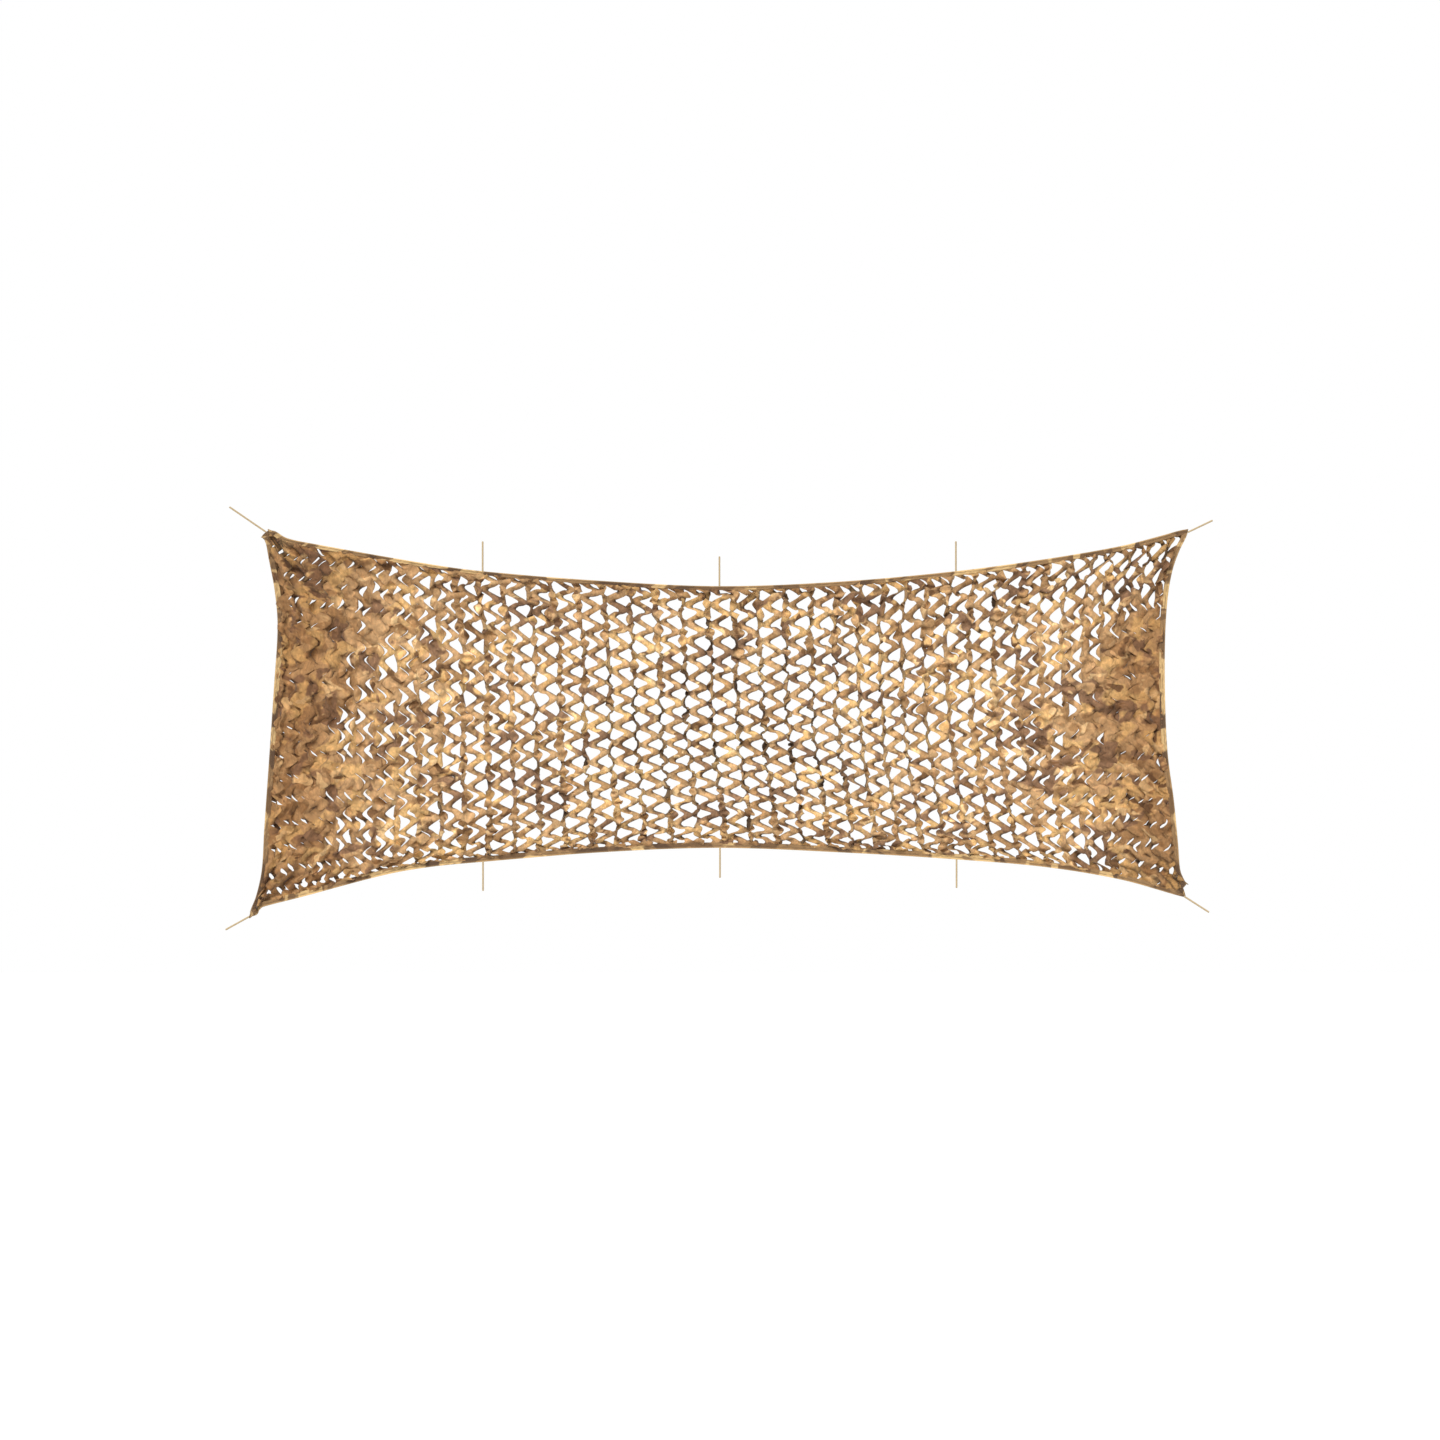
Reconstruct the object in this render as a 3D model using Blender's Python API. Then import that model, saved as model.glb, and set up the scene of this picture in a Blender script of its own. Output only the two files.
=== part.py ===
"""A strung camouflage net: slit cloth, a folded edge binding and ten tie cords.

Units are metres, +Z is up.  The net hangs in the XZ plane, its front faces -Y, and the
origin is the middle of its top edge.  Every point of the cloth has two shares: u runs from
the left edge (0) to the right (1), and v from the top edge (0) to the bottom (1).
"""
import math
import random
from itertools import pairwise

import bmesh
import bpy
from mathutils import Vector
from mathutils.geometry import delaunay_2d_cdt

# Cloth, binding and cord
NET_THICKNESS = 0.0016
BINDING_WIDTH = 0.030
BINDING_PLY = 0.0010
BINDING_FOLD = 0.003  # depth of the fold behind the cloth's raw edge
SLOT_CLEARANCE = 0.0004
RAW_EDGE_INSET = 0.005
INNER_LINE = 0.036  # the cloth's second row of points, just clear of the binding
TIE_RADIUS = 0.005
TIE_STEP = 0.022
CORNER_TIE_GAP = 0.004
TIE_GAP = 0.0007  # from the tape to a cord, where the tape lies straight

# The rim of the strung net: its outer line on each side, left to right or top to bottom
TOP_RIM = (  # x, z
    (-2.404, 0.298),
    (-2.369, 0.293),
    (-2.311, 0.258),
    (-2.183, 0.229),
    (-1.543, 0.117),
    (-1.266, 0.080),
    (-0.637, 0.029),
    (0.000, 0.000),
    (0.642, 0.024),
    (1.261, 0.080),
    (1.735, 0.144),
    (2.135, 0.213),
    (2.348, 0.267),
    (2.455, 0.297),
    (2.501, 0.305),
)
BOTTOM_RIM = (  # x, z
    (-2.503, -1.764),
    (-2.465, -1.751),
    (-2.449, -1.719),
    (-2.417, -1.706),
    (-2.236, -1.660),
    (-1.783, -1.540),
    (-1.543, -1.498),
    (-1.266, -1.471),
    (-0.637, -1.420),
    (0.000, -1.396),
    (0.696, -1.423),
    (1.266, -1.458),
    (1.735, -1.498),
    (2.135, -1.564),
    (2.444, -1.650),
    (2.478, -1.658),
)
LEFT_RIM = (  # x, z
    (-2.404, 0.298),
    (-2.441, 0.264),
    (-2.422, 0.240),
    (-2.404, 0.149),
    (-2.372, -0.021),
    (-2.356, -0.213),
    (-2.375, -0.533),
    (-2.401, -0.917),
    (-2.428, -1.300),
    (-2.441, -1.514),
    (-2.471, -1.652),
    (-2.502, -1.732),
    (-2.503, -1.764),
)
RIGHT_RIM = (  # x, z
    (2.501, 0.305),
    (2.492, 0.267),
    (2.455, 0.192),
    (2.417, 0.085),
    (2.391, -0.064),
    (2.377, -0.288),
    (2.377, -0.608),
    (2.391, -0.901),
    (2.423, -1.141),
    (2.446, -1.380),
    (2.457, -1.514),
    (2.478, -1.567),
    (2.490, -1.588),
    (2.470, -1.615),
    (2.478, -1.658),
)

# Where the rings of the binding and the cloth's edge points stand, closer at the corners
CORNER_SHARES_ALONG = (0.004, 0.008, 0.012, 0.0165, 0.023, 0.040)
CORNER_SHARES_DOWN = (0.0165, 0.0255, 0.038, 0.060, 0.090)  # the side strips start at the first
SEGMENTS_ALONG = 34
SEGMENTS_DOWN = 14

# The slits, at twice the pitch of the real cloth: columns of threads, each with a row of
# open mouths on its right side and, half a pitch lower, another on its left
THREADS = 17
FIRST_THREAD_U = 0.098
THREAD_PITCH_U = 0.0513
THREAD_LEAN_U = 0.026  # how far a thread drifts to the right from the top to the bottom
ROWS = 8
FIRST_ROW_V = 0.093
ROW_PITCH_V = 0.1163
MOUTH_DEPTH = 0.55  # share of the thread pitch
MOUTH_HALF_HEIGHT = 0.32  # share of the row pitch
MOUTH_SHOULDER = 0.60  # where a mouth's sides bend, and how high it still is there
TONGUE_SHUT, TONGUE_OPEN = 0.62, 0.06  # how far the cut tongue covers the mouth
SHUT_DEPTH, SHUT_HEIGHT = 0.75, 0.80  # size of a nearly shut mouth beside an open one
THREAD_HALF_WIDTH = 0.045  # share of the thread pitch
LEAST_OPEN = 0.30
UNEVENNESS = 0.10
ROW_UNEVENNESS = 0.02  # share of the row pitch
SEED = 7
# How far the mouths stand open, from 0 (a shut slit) to 1, across the net
OPENNESS = (  # u, upper third, middle, lower third
    (0.00, 0.00, 0.00, 0.00),
    (0.07, 0.10, 0.05, 0.30),
    (0.12, 0.45, 0.55, 0.50),
    (0.20, 0.60, 0.65, 0.60),
    (0.30, 0.90, 0.90, 0.75),
    (0.50, 1.00, 1.00, 0.95),
    (0.75, 0.95, 1.00, 0.95),
    (0.80, 0.85, 0.85, 0.85),
    (0.84, 0.55, 0.50, 0.55),
    (0.89, 0.75, 0.30, 0.25),
    (0.93, 0.60, 0.00, 0.35),
    (0.97, 0.25, 0.00, 0.20),
    (1.00, 0.00, 0.00, 0.00),
)

# Relief towards the front (-Y): the billow, slow waves, and the gathers at the corners
BILLOW = 0.020
EDGE_WAVE = 0.007
EDGE_WAVE_ALONG, EDGE_WAVE_DOWN = 11.0, 2.5  # radians from side to side, top to bottom
CLOTH_WAVE = 0.014
RIPPLE_ALONG, RIPPLE_LEAN = 31.0, 3.0
RIPPLE_DOWN, RIPPLE_DRIFT = 7.5, 5.0
EDGE_TAUT_WIDTH = 0.16  # the cloth's waves and gathers fade out over this strip
MOUTH_CURL = 0.008
FOLDS = (  # from x, from z, to x, to z, rise, half width
    (-2.37, 0.24, -2.11, -0.20, -0.034, 0.050),
    (-2.36, 0.16, -2.27, -0.42, 0.028, 0.050),
    (-2.30, 0.22, -1.80, 0.02, 0.024, 0.050),
    (-2.43, -1.66, -2.14, -1.28, 0.032, 0.050),
    (-2.41, -1.60, -2.32, -1.00, -0.026, 0.050),
    (2.43, 0.22, 2.18, -0.12, 0.028, 0.050),
    (2.40, 0.10, 2.31, -0.45, -0.024, 0.050),
    (2.42, -1.61, 2.06, -1.42, 0.034, 0.050),
    (2.41, -1.55, 2.24, -1.02, -0.028, 0.050),
    (2.12, -0.50, 2.26, -0.95, 0.028, 0.065),
    (2.02, -0.80, 2.10, -1.25, -0.024, 0.065),
    (-2.20, -0.45, -2.12, -1.00, 0.024, 0.065),
)
PLAN_WIDTH, PLAN_HEIGHT = 4.9, 1.9  # the flat layout's size, in which points are spaced
FILL_PITCH = 0.070  # spacing of the cloth's own points where no mouth is cut
FILL_BORDER = 0.035
FILL_CLEARANCE = 0.056

EDGE_TIES = (  # name, rim, x on the rim, run up
    ("tie_top_left", "top", -1.263, 0.158),
    ("tie_top_middle", "top", 0.000, 0.158),
    ("tie_top_right", "top", 1.261, 0.158),
    ("tie_bottom_left", "bottom", -1.261, -0.154),
    ("tie_bottom_middle", "bottom", 0.003, -0.159),
    ("tie_bottom_right", "bottom", 1.265, -0.151),
)
CORNER_TIES = (  # name, corner u, corner v, way in from the corner down the side, run in x, in z
    ("tie_corner_top_left", 0.0, 0.0, 0.016, -0.193, 0.132),
    ("tie_corner_top_right", 1.0, 0.0, 0.018, 0.130, 0.062),
    ("tie_corner_bottom_left", 0.0, 1.0, 0.004, -0.128, -0.071),
    ("tie_corner_bottom_right", 1.0, 1.0, 0.004, 0.130, -0.083),
)

SHARP_DEGREES = 40

FINISHES = {  # base colour, roughness
    "net_cloth": ((0.36, 0.22, 0.11, 1.0), 0.85),
    "binding_tape": ((0.22, 0.15, 0.08, 1.0), 0.80),
    "tie_cord": ((0.52, 0.42, 0.28, 1.0), 0.75),
}


class Rim:
    """A smooth line through a short table of points, read by its share of length."""

    SUBSTEPS = 12

    def __init__(self, table):
        corners = [Vector(row) for row in table]
        ends = [2 * corners[0] - corners[1], *corners, 2 * corners[-1] - corners[-2]]
        self.points = [corners[0]]
        for before, start, end, after in zip(ends, ends[1:], ends[2:], ends[3:]):
            span = (end - start).length
            leave = span * (end - before) / max((start - before).length + span, 1e-9)
            arrive = span * (after - start) / max((after - end).length + span, 1e-9)
            for step in range(1, self.SUBSTEPS + 1):
                self.points.append(hermite(start, end, leave, arrive, step / self.SUBSTEPS))
        self.lengths = [0.0]
        for a, b in pairwise(self.points):
            self.lengths.append(self.lengths[-1] + (b - a).length)

    def at(self, share):
        """The point at a share of the line's length, 0 to 1."""
        target = min(max(share, 0.0), 1.0) * self.lengths[-1]
        for i, length in enumerate(self.lengths[1:]):
            if length >= target:
                break
        part = (target - self.lengths[i]) / max(length - self.lengths[i], 1e-9)
        return self.points[i].lerp(self.points[i + 1], part)

    def share_at_x(self, x):
        """The share where the line, which runs left to right, reaches x."""
        low, high = 0.0, 1.0
        while high - low > 1e-6:
            middle = (low + high) / 2
            if self.at(middle).x < x:
                low = middle
            else:
                high = middle
        return low


def hermite(start, end, leave, arrive, t):
    """A point of the cubic from start to end with the given end tangents."""
    t2, t3 = t * t, t * t * t
    return (
        (2 * t3 - 3 * t2 + 1) * start
        + (t3 - 2 * t2 + t) * leave
        + (3 * t2 - 2 * t3) * end
        + (t3 - t2) * arrive
    )


def mix(a, b, share):
    """The value a share of the way from a to b."""
    return a + (b - a) * share


def smooth(share):
    """An S-shaped step from 0 to 1."""
    share = min(max(share, 0.0), 1.0)
    return share * share * (3 - 2 * share)


RIMS = {
    "top": Rim(TOP_RIM),
    "bottom": Rim(BOTTOM_RIM),
    "left": Rim(LEFT_RIM),
    "right": Rim(RIGHT_RIM),
}


MIDDLE_U = RIMS["top"].share_at_x(0.0)


def height(u):
    """How far the top and bottom rims stand apart at u."""
    return (RIMS["top"].at(u) - RIMS["bottom"].at(u)).length


def width(v):
    """How far the left and right rims stand apart at v."""
    return (RIMS["left"].at(v) - RIMS["right"].at(v)).length


def outline_point(u, v):
    """Where the flat net has its point (u, v): a patch stretched between the four rims."""
    top, bottom, left, right = (RIMS[name].at for name in ("top", "bottom", "left", "right"))
    across = mix(top(u), bottom(u), v)
    down = mix(left(v), right(v), u)
    corners = mix(mix(top(0), top(1), u), mix(bottom(0), bottom(1), u), v)
    return across + down - corners


def fold_rise(point):
    """The rise of the gathers at a point of the flat net."""
    rise = 0.0
    for x0, z0, x1, z1, fold, half_width in FOLDS:
        start, run = Vector((x0, z0)), Vector((x1 - x0, z1 - z0))
        along = (point - start).dot(run) / run.length_squared
        if 0 < along < 1:
            aside = (point - start - along * run).length / half_width
            rise += fold * math.sin(math.pi * math.sqrt(along)) * math.exp(-aside * aside)
    return rise


def place(u, v):
    """The point (u, v) of the strung net in space, in the middle of the cloth."""
    flat = outline_point(u, v)
    to_edge = min(min(u, 1 - u) * width(v), min(v, 1 - v) * height(u))
    slack = smooth((to_edge - INNER_LINE) / EDGE_TAUT_WIDTH)
    billow = BILLOW * math.sin(math.pi * u) * math.sin(math.pi * v)
    edge_wave = EDGE_WAVE * math.sin(EDGE_WAVE_ALONG * (u - MIDDLE_U) + EDGE_WAVE_DOWN * v)
    across = math.sin(RIPPLE_ALONG * u + RIPPLE_LEAN * v)
    cloth_wave = CLOTH_WAVE * across * math.sin(RIPPLE_DOWN * v + RIPPLE_DRIFT * u)
    front = billow + edge_wave + slack * (cloth_wave + fold_rise(flat))
    return Vector((flat.x, -front, flat.y))


def even_shares(corner_shares, segments):
    """Shares from 0 to 1, with the given ones and their mirror images at the two ends."""
    first, last = corner_shares[-1], 1 - corner_shares[-1]
    middle = [mix(first, last, i / segments) for i in range(1, segments)]
    mirrored = [1 - share for share in reversed(corner_shares)]
    return [*corner_shares, *middle, *mirrored]


def open_share(u, v):
    """How far a mouth at (u, v) stands open, read from the table."""
    for low, high in pairwise(OPENNESS):
        if u <= high[0]:
            break
    part = (u - low[0]) / (high[0] - low[0])
    upper, middle, lower = (mix(low[i], high[i], part) for i in (1, 2, 3))
    return mix(upper, middle, 2 * v) if v < 0.5 else mix(middle, lower, 2 * v - 1)


def mouth_outline(base_u, mid_v, reach, half, tongue):
    """A mouth's six (u, v) points: thread, shoulder, tip, shoulder, thread, tongue."""
    shoulder_u, shoulder_half = base_u + reach * MOUTH_SHOULDER, half * MOUTH_SHOULDER
    outline = [
        (base_u, mid_v - half),
        (shoulder_u, mid_v - shoulder_half),
        (base_u + reach, mid_v),
        (shoulder_u, mid_v + shoulder_half),
        (base_u, mid_v + half),
        (base_u + reach * tongue, mid_v),
    ]
    return outline if reach > 0 else outline[::-1]


def mouth_outlines():
    """The outline of every mouth that stands open."""
    draw = random.Random(SEED)
    outlines = []
    for thread in range(THREADS):
        thread_u = FIRST_THREAD_U + thread * THREAD_PITCH_U
        for side, row_shift, count in ((1, 0.0, ROWS), (-1, 0.5, ROWS - 1)):
            for row in range(count):
                v = FIRST_ROW_V + (row + row_shift) * ROW_PITCH_V
                vary = [1 + draw.uniform(-UNEVENNESS, UNEVENNESS) for _ in range(3)]
                mid_v = v + ROW_PITCH_V * draw.uniform(-ROW_UNEVENNESS, ROW_UNEVENNESS)
                opened = open_share(thread_u, v) * vary[0]
                if opened < LEAST_OPEN:
                    continue
                leaning_u = thread_u + THREAD_LEAN_U * (v - 0.5)
                base_u = leaning_u + side * THREAD_PITCH_U * THREAD_HALF_WIDTH
                reach = MOUTH_DEPTH * THREAD_PITCH_U * mix(SHUT_DEPTH, 1.0, opened) * vary[1]
                half = MOUTH_HALF_HEIGHT * ROW_PITCH_V * mix(SHUT_HEIGHT, 1.0, opened) * vary[2]
                tongue = mix(TONGUE_SHUT, TONGUE_OPEN, smooth(opened))
                outlines.append(mouth_outline(base_u, mid_v, side * reach, half, tongue))
    return outlines


def cloth_shares(p, q):
    """The cloth's own shares, from raw edge to raw edge, as shares of the whole net."""
    edge_u, edge_v = RAW_EDGE_INSET / width(q), RAW_EDGE_INSET / height(p)
    return mix(edge_u, 1 - edge_u, p), mix(edge_v, 1 - edge_v, q)


class ClothPlan:
    """The cloth laid out flat: its points, its cut lines and its open mouths."""

    def __init__(self):
        self.points = []
        self.curls = []
        self.lines = []
        self.mouths = []

    def add(self, p, q, curl=0.0):
        """Adds a point, with how far it curls to the front, and returns its number."""
        self.points.append(Vector((p * PLAN_WIDTH, q * PLAN_HEIGHT)))
        self.curls.append(curl)
        return len(self.points) - 1

    def add_line(self, numbers):
        """Keeps the edges along a run of points."""
        self.lines.extend(pairwise(numbers))

    def add_side(self, shares, outer_at, inner_at):
        """The raw edge of one side, the line inside it, and the rungs between them."""
        outer = [self.add(*outer_at(share)) for share in shares]
        inner = [self.add(*inner_at(share)) for share in shares]
        self.add_line(inner)
        self.lines.extend(zip(outer, inner))
        return outer

    def add_frame(self):
        """The four sides, whose points stand where the binding has its rings."""
        along = even_shares(CORNER_SHARES_ALONG, SEGMENTS_ALONG)
        down = even_shares(CORNER_SHARES_DOWN, SEGMENTS_DOWN)
        depth = INNER_LINE - RAW_EDGE_INSET
        top = self.add_side(along, lambda p: (p, 0.0), lambda p: (p, depth / height(p)))
        right = self.add_side(down, lambda q: (1.0, q), lambda q: (1 - depth / width(q), q))
        bottom = self.add_side(along, lambda p: (p, 1.0), lambda p: (p, 1 - depth / height(p)))
        left = self.add_side(down, lambda q: (0.0, q), lambda q: (depth / width(q), q))
        corners = [self.add(p, q) for p, q in ((0.0, 0.0), (1.0, 0.0), (1.0, 1.0), (0.0, 1.0))]
        around = [corners[0], *top, corners[1], *right, corners[2]]
        around += [*bottom[::-1], corners[3], *left[::-1], corners[0]]
        self.add_line(around)

    def add_mouths(self):
        """The open mouths, whose tongues curl to the front and whose tips lie back."""
        curls = (0.0, 0.0, -MOUTH_CURL / 2, 0.0, 0.0, MOUTH_CURL)
        for outline in mouth_outlines():
            faces_right = outline[2][0] > outline[0][0]
            curls_here = curls if faces_right else curls[::-1]
            self.mouths.append([self.add(*at, curl) for at, curl in zip(outline, curls_here)])

    def add_fill(self):
        """Rows of points, each row shifted by half a step, wherever no mouth is near."""
        taken = [self.points[number] for loop in self.mouths for number in loop]
        border = INNER_LINE + FILL_BORDER
        rows = round((PLAN_HEIGHT - 2 * border) / FILL_PITCH)
        steps = round((PLAN_WIDTH - 2 * border) / FILL_PITCH)
        for row in range(rows + 1):
            y = mix(border, PLAN_HEIGHT - border, row / rows)
            for step in range(steps + 1 - row % 2):
                x = mix(border, PLAN_WIDTH - border, (step + row % 2 / 2) / steps)
                if all((Vector((x, y)) - point).length > FILL_CLEARANCE for point in taken):
                    self.add(x / PLAN_WIDTH, y / PLAN_HEIGHT)

    def triangles(self):
        """The cloth's triangles, without those inside a mouth, and its points as cut."""
        cut = delaunay_2d_cdt(self.points, self.lines, self.mouths, 0, 1e-6)
        points, faces, sources, face_sources = cut[0], cut[2], cut[3], cut[5]
        curls = [max((self.curls[n] for n in source), default=0.0, key=abs) for source in sources]
        kept = [face for face, source in zip(faces, face_sources) if not source]
        return points, curls, kept


def new_material(name):
    """The plain finish of one kind of piece."""
    colour, roughness = FINISHES[name]
    material = bpy.data.materials.new(name)
    material.use_nodes = True
    shader = material.node_tree.nodes["Principled BSDF"]
    shader.inputs["Base Color"].default_value = colour
    shader.inputs["Roughness"].default_value = roughness
    shader.inputs["Metallic"].default_value = 0.0
    return material


def add_piece(name, data, finish):
    """Adds a named piece with its own material to the scene."""
    data.materials.append(new_material(finish))
    piece = bpy.data.objects.new(name, data)
    bpy.context.scene.collection.objects.link(piece)
    return piece


def closed_mesh(name, points, faces):
    """A mesh from points and faces, with every face turned outwards."""
    shape = bmesh.new()
    corners = [shape.verts.new(point) for point in points]
    for face in faces:
        shape.faces.new([corners[i] for i in face])
    loose = [corner for corner in corners if not corner.link_faces]
    bmesh.ops.delete(shape, geom=loose, context="VERTS")
    bmesh.ops.recalc_face_normals(shape, faces=shape.faces)
    mesh = bpy.data.meshes.new(name)
    shape.to_mesh(mesh)
    shape.free()
    mesh.shade_smooth()
    mesh.set_sharp_from_angle(angle=math.radians(SHARP_DEGREES))
    return mesh


def thickened(faces, count):
    """The faces of a sheet, those of its copy count points further on, and the cut walls."""
    front = [tuple(face) for face in faces]
    back = [tuple(i + count for i in reversed(face)) for face in front]
    sides = {edge for face in front for edge in zip(face, face[1:] + face[:1])}
    cut = [(a, b) for a, b in sorted(sides) if (b, a) not in sides]
    return front + back + [(b, a, a + count, b + count) for a, b in cut]


def build_cloth():
    """The net's cloth: one sheet with its mouths cut through."""
    plan = ClothPlan()
    plan.add_frame()
    plan.add_mouths()
    plan.add_fill()
    flat_points, curls, faces = plan.triangles()
    sides = {-1: [], 1: []}
    for flat, curl in zip(flat_points, curls):
        at = place(*cloth_shares(flat.x / PLAN_WIDTH, flat.y / PLAN_HEIGHT))
        for side, points in sides.items():
            points.append(at + Vector((0, side * NET_THICKNESS / 2 - curl, 0)))
    mesh = closed_mesh("net", sides[-1] + sides[1], thickened(faces, len(curls)))
    add_piece("net", mesh, "net_cloth")


def binding_section():
    """The folded tape's section: depth from the rim, and offset to the front or back."""
    inner = NET_THICKNESS / 2 + SLOT_CLEARANCE
    outer = inner + BINDING_PLY
    return (
        (0.0, -outer),
        (BINDING_WIDTH, -outer),
        (BINDING_WIDTH, -inner),
        (BINDING_FOLD, -inner),
        (BINDING_FOLD, inner),
        (BINDING_WIDTH, inner),
        (BINDING_WIDTH, outer),
        (0.0, outer),
    )


def build_binding(name, shares, point_at):
    """One strip of tape folded over an edge; point_at gives the place at a share and depth."""
    section = binding_section()
    points = [
        point_at(share, depth) + Vector((0, offset, 0))
        for share in shares
        for depth, offset in section
    ]
    sides = len(section)
    faces = []
    for ring in range(len(shares) - 1):
        for i in range(sides):
            j = (i + 1) % sides
            near, far = ring * sides, (ring + 1) * sides
            faces.append((near + i, near + j, far + j, far + i))
    for first in (0, (len(shares) - 1) * sides):
        faces.append((first, first + 1, first + 2, first + 3))
        faces.append((first, first + 3, first + 4, first + 7))
        faces.append((first + 4, first + 5, first + 6, first + 7))
    add_piece(name, closed_mesh(name, points, faces), "binding_tape")


def build_bindings():
    """Long strips over the whole top and bottom, and shorter ones between them."""
    along = even_shares(CORNER_SHARES_ALONG, SEGMENTS_ALONG)
    down = even_shares(CORNER_SHARES_DOWN, SEGMENTS_DOWN)
    for name, q in (("binding_top", 0.0), ("binding_bottom", 1.0)):
        shares = [0.0, *(cloth_shares(p, q)[0] for p in along), 1.0]
        if q == 0.0:
            build_binding(name, shares, lambda u, depth: place(u, depth / height(u)))
        else:
            build_binding(name, shares, lambda u, depth: place(u, 1 - depth / height(u)))
    for name, p in (("binding_left", 0.0), ("binding_right", 1.0)):
        shares = [cloth_shares(p, q)[1] for q in down]
        if p == 0.0:
            build_binding(name, shares, lambda v, depth: place(depth / width(v), v))
        else:
            build_binding(name, shares, lambda v, depth: place(1 - depth / width(v), v))


def build_edge_tie(name, rim_name, x, run_up):
    """A tie that leaves the middle of a long edge at right angles to the net's length."""
    rim = RIMS[rim_name]
    share = rim.share_at_x(x)
    slope = rim.at(share + 0.01) - rim.at(share - 0.01)
    clear = TIE_GAP + TIE_RADIUS * abs(slope.y / slope.x)
    run = Vector((0.0, 0.0, run_up))
    start = place(share, 0.0 if rim_name == "top" else 1.0) + run.normalized() * clear
    build_tie(name, start, run)


def build_corner_tie(name, u, v, way_in, run_x, run_z):
    """A tie that leaves a corner outwards, from the end of the long binding."""
    run = Vector((run_x, 0.0, run_z))
    leaves = place(u, abs(v - way_in / height(u)))
    build_tie(name, leaves + run.normalized() * CORNER_TIE_GAP, run)


def build_tie(name, start, run):
    """One straight tie cord with flat cut ends."""
    steps = round(run.length / TIE_STEP)
    curve = bpy.data.curves.new(name, "CURVE")
    curve.dimensions = "3D"
    curve.bevel_depth = TIE_RADIUS
    curve.bevel_resolution = 2
    curve.use_fill_caps = True
    spline = curve.splines.new("POLY")
    spline.points.add(steps)
    for i, point in enumerate(spline.points):
        point.co = (*(start + run * i / steps), 1.0)
    add_piece(name, curve, "tie_cord")


def main():
    """Clears the scene and builds every piece."""
    for leftover in list(bpy.data.objects):
        bpy.data.objects.remove(leftover)
    build_cloth()
    build_bindings()
    for row in EDGE_TIES:
        build_edge_tie(*row)
    for row in CORNER_TIES:
        build_corner_tie(*row)


main()
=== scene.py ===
"""The looks of a strung camouflage net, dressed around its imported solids.

Units are metres, +Z is up and the front faces -Y.  Every point of the net has two shares:
u runs from the left edge (0) to the right (1), and v from the top edge (0) to the bottom
(1).  The cloth is laid out flat, cut into rows of facing mouths, and then relaxed between
its bound edges, so that each mouth opens as far as the pull on it.
"""

import logging
import math
import random
from dataclasses import dataclass, field
from enum import Enum
from itertools import pairwise
from typing import Callable, Iterable, Sequence

import bmesh
import bpy
import numpy as np
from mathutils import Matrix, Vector
from mathutils.geometry import delaunay_2d_cdt


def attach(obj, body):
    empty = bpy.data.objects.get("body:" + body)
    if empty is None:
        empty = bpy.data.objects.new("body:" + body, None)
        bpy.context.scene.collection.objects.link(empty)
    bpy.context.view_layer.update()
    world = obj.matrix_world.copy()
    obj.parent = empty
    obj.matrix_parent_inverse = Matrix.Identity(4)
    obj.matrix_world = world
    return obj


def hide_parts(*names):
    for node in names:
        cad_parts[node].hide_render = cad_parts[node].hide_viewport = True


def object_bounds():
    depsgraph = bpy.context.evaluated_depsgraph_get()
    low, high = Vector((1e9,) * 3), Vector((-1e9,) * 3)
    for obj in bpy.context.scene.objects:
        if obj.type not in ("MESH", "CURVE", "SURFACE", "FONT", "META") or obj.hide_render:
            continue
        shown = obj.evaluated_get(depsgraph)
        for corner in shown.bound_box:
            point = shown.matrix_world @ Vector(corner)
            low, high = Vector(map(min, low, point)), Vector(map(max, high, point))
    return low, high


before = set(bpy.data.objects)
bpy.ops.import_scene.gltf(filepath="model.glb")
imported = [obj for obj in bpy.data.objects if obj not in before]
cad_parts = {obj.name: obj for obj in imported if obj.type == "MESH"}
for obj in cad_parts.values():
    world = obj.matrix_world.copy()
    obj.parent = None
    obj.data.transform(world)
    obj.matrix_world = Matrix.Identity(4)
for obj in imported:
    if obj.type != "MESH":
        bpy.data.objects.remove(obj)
CAD_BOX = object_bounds()

BODY = "root"
LOG = logging.getLogger("net")

# The rim of the strung net: its outer line on each side, left to right or top to bottom
TOP_RIM = (  # x, z
    (-2.404, 0.298),
    (-2.369, 0.293),
    (-2.311, 0.258),
    (-2.183, 0.229),
    (-1.543, 0.117),
    (-1.266, 0.080),
    (-0.637, 0.029),
    (0.000, 0.000),
    (0.642, 0.024),
    (1.261, 0.080),
    (1.735, 0.144),
    (2.135, 0.213),
    (2.348, 0.267),
    (2.455, 0.297),
    (2.501, 0.305),
)
BOTTOM_RIM = (  # x, z
    (-2.503, -1.764),
    (-2.465, -1.751),
    (-2.449, -1.719),
    (-2.417, -1.706),
    (-2.236, -1.660),
    (-1.783, -1.540),
    (-1.543, -1.498),
    (-1.266, -1.471),
    (-0.637, -1.420),
    (0.000, -1.396),
    (0.696, -1.423),
    (1.266, -1.458),
    (1.735, -1.498),
    (2.135, -1.564),
    (2.444, -1.650),
    (2.478, -1.658),
)
LEFT_RIM = (  # x, z
    (-2.404, 0.298),
    (-2.441, 0.264),
    (-2.422, 0.240),
    (-2.404, 0.149),
    (-2.372, -0.021),
    (-2.356, -0.213),
    (-2.375, -0.533),
    (-2.401, -0.917),
    (-2.428, -1.300),
    (-2.441, -1.514),
    (-2.471, -1.652),
    (-2.502, -1.732),
    (-2.503, -1.764),
)
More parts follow.
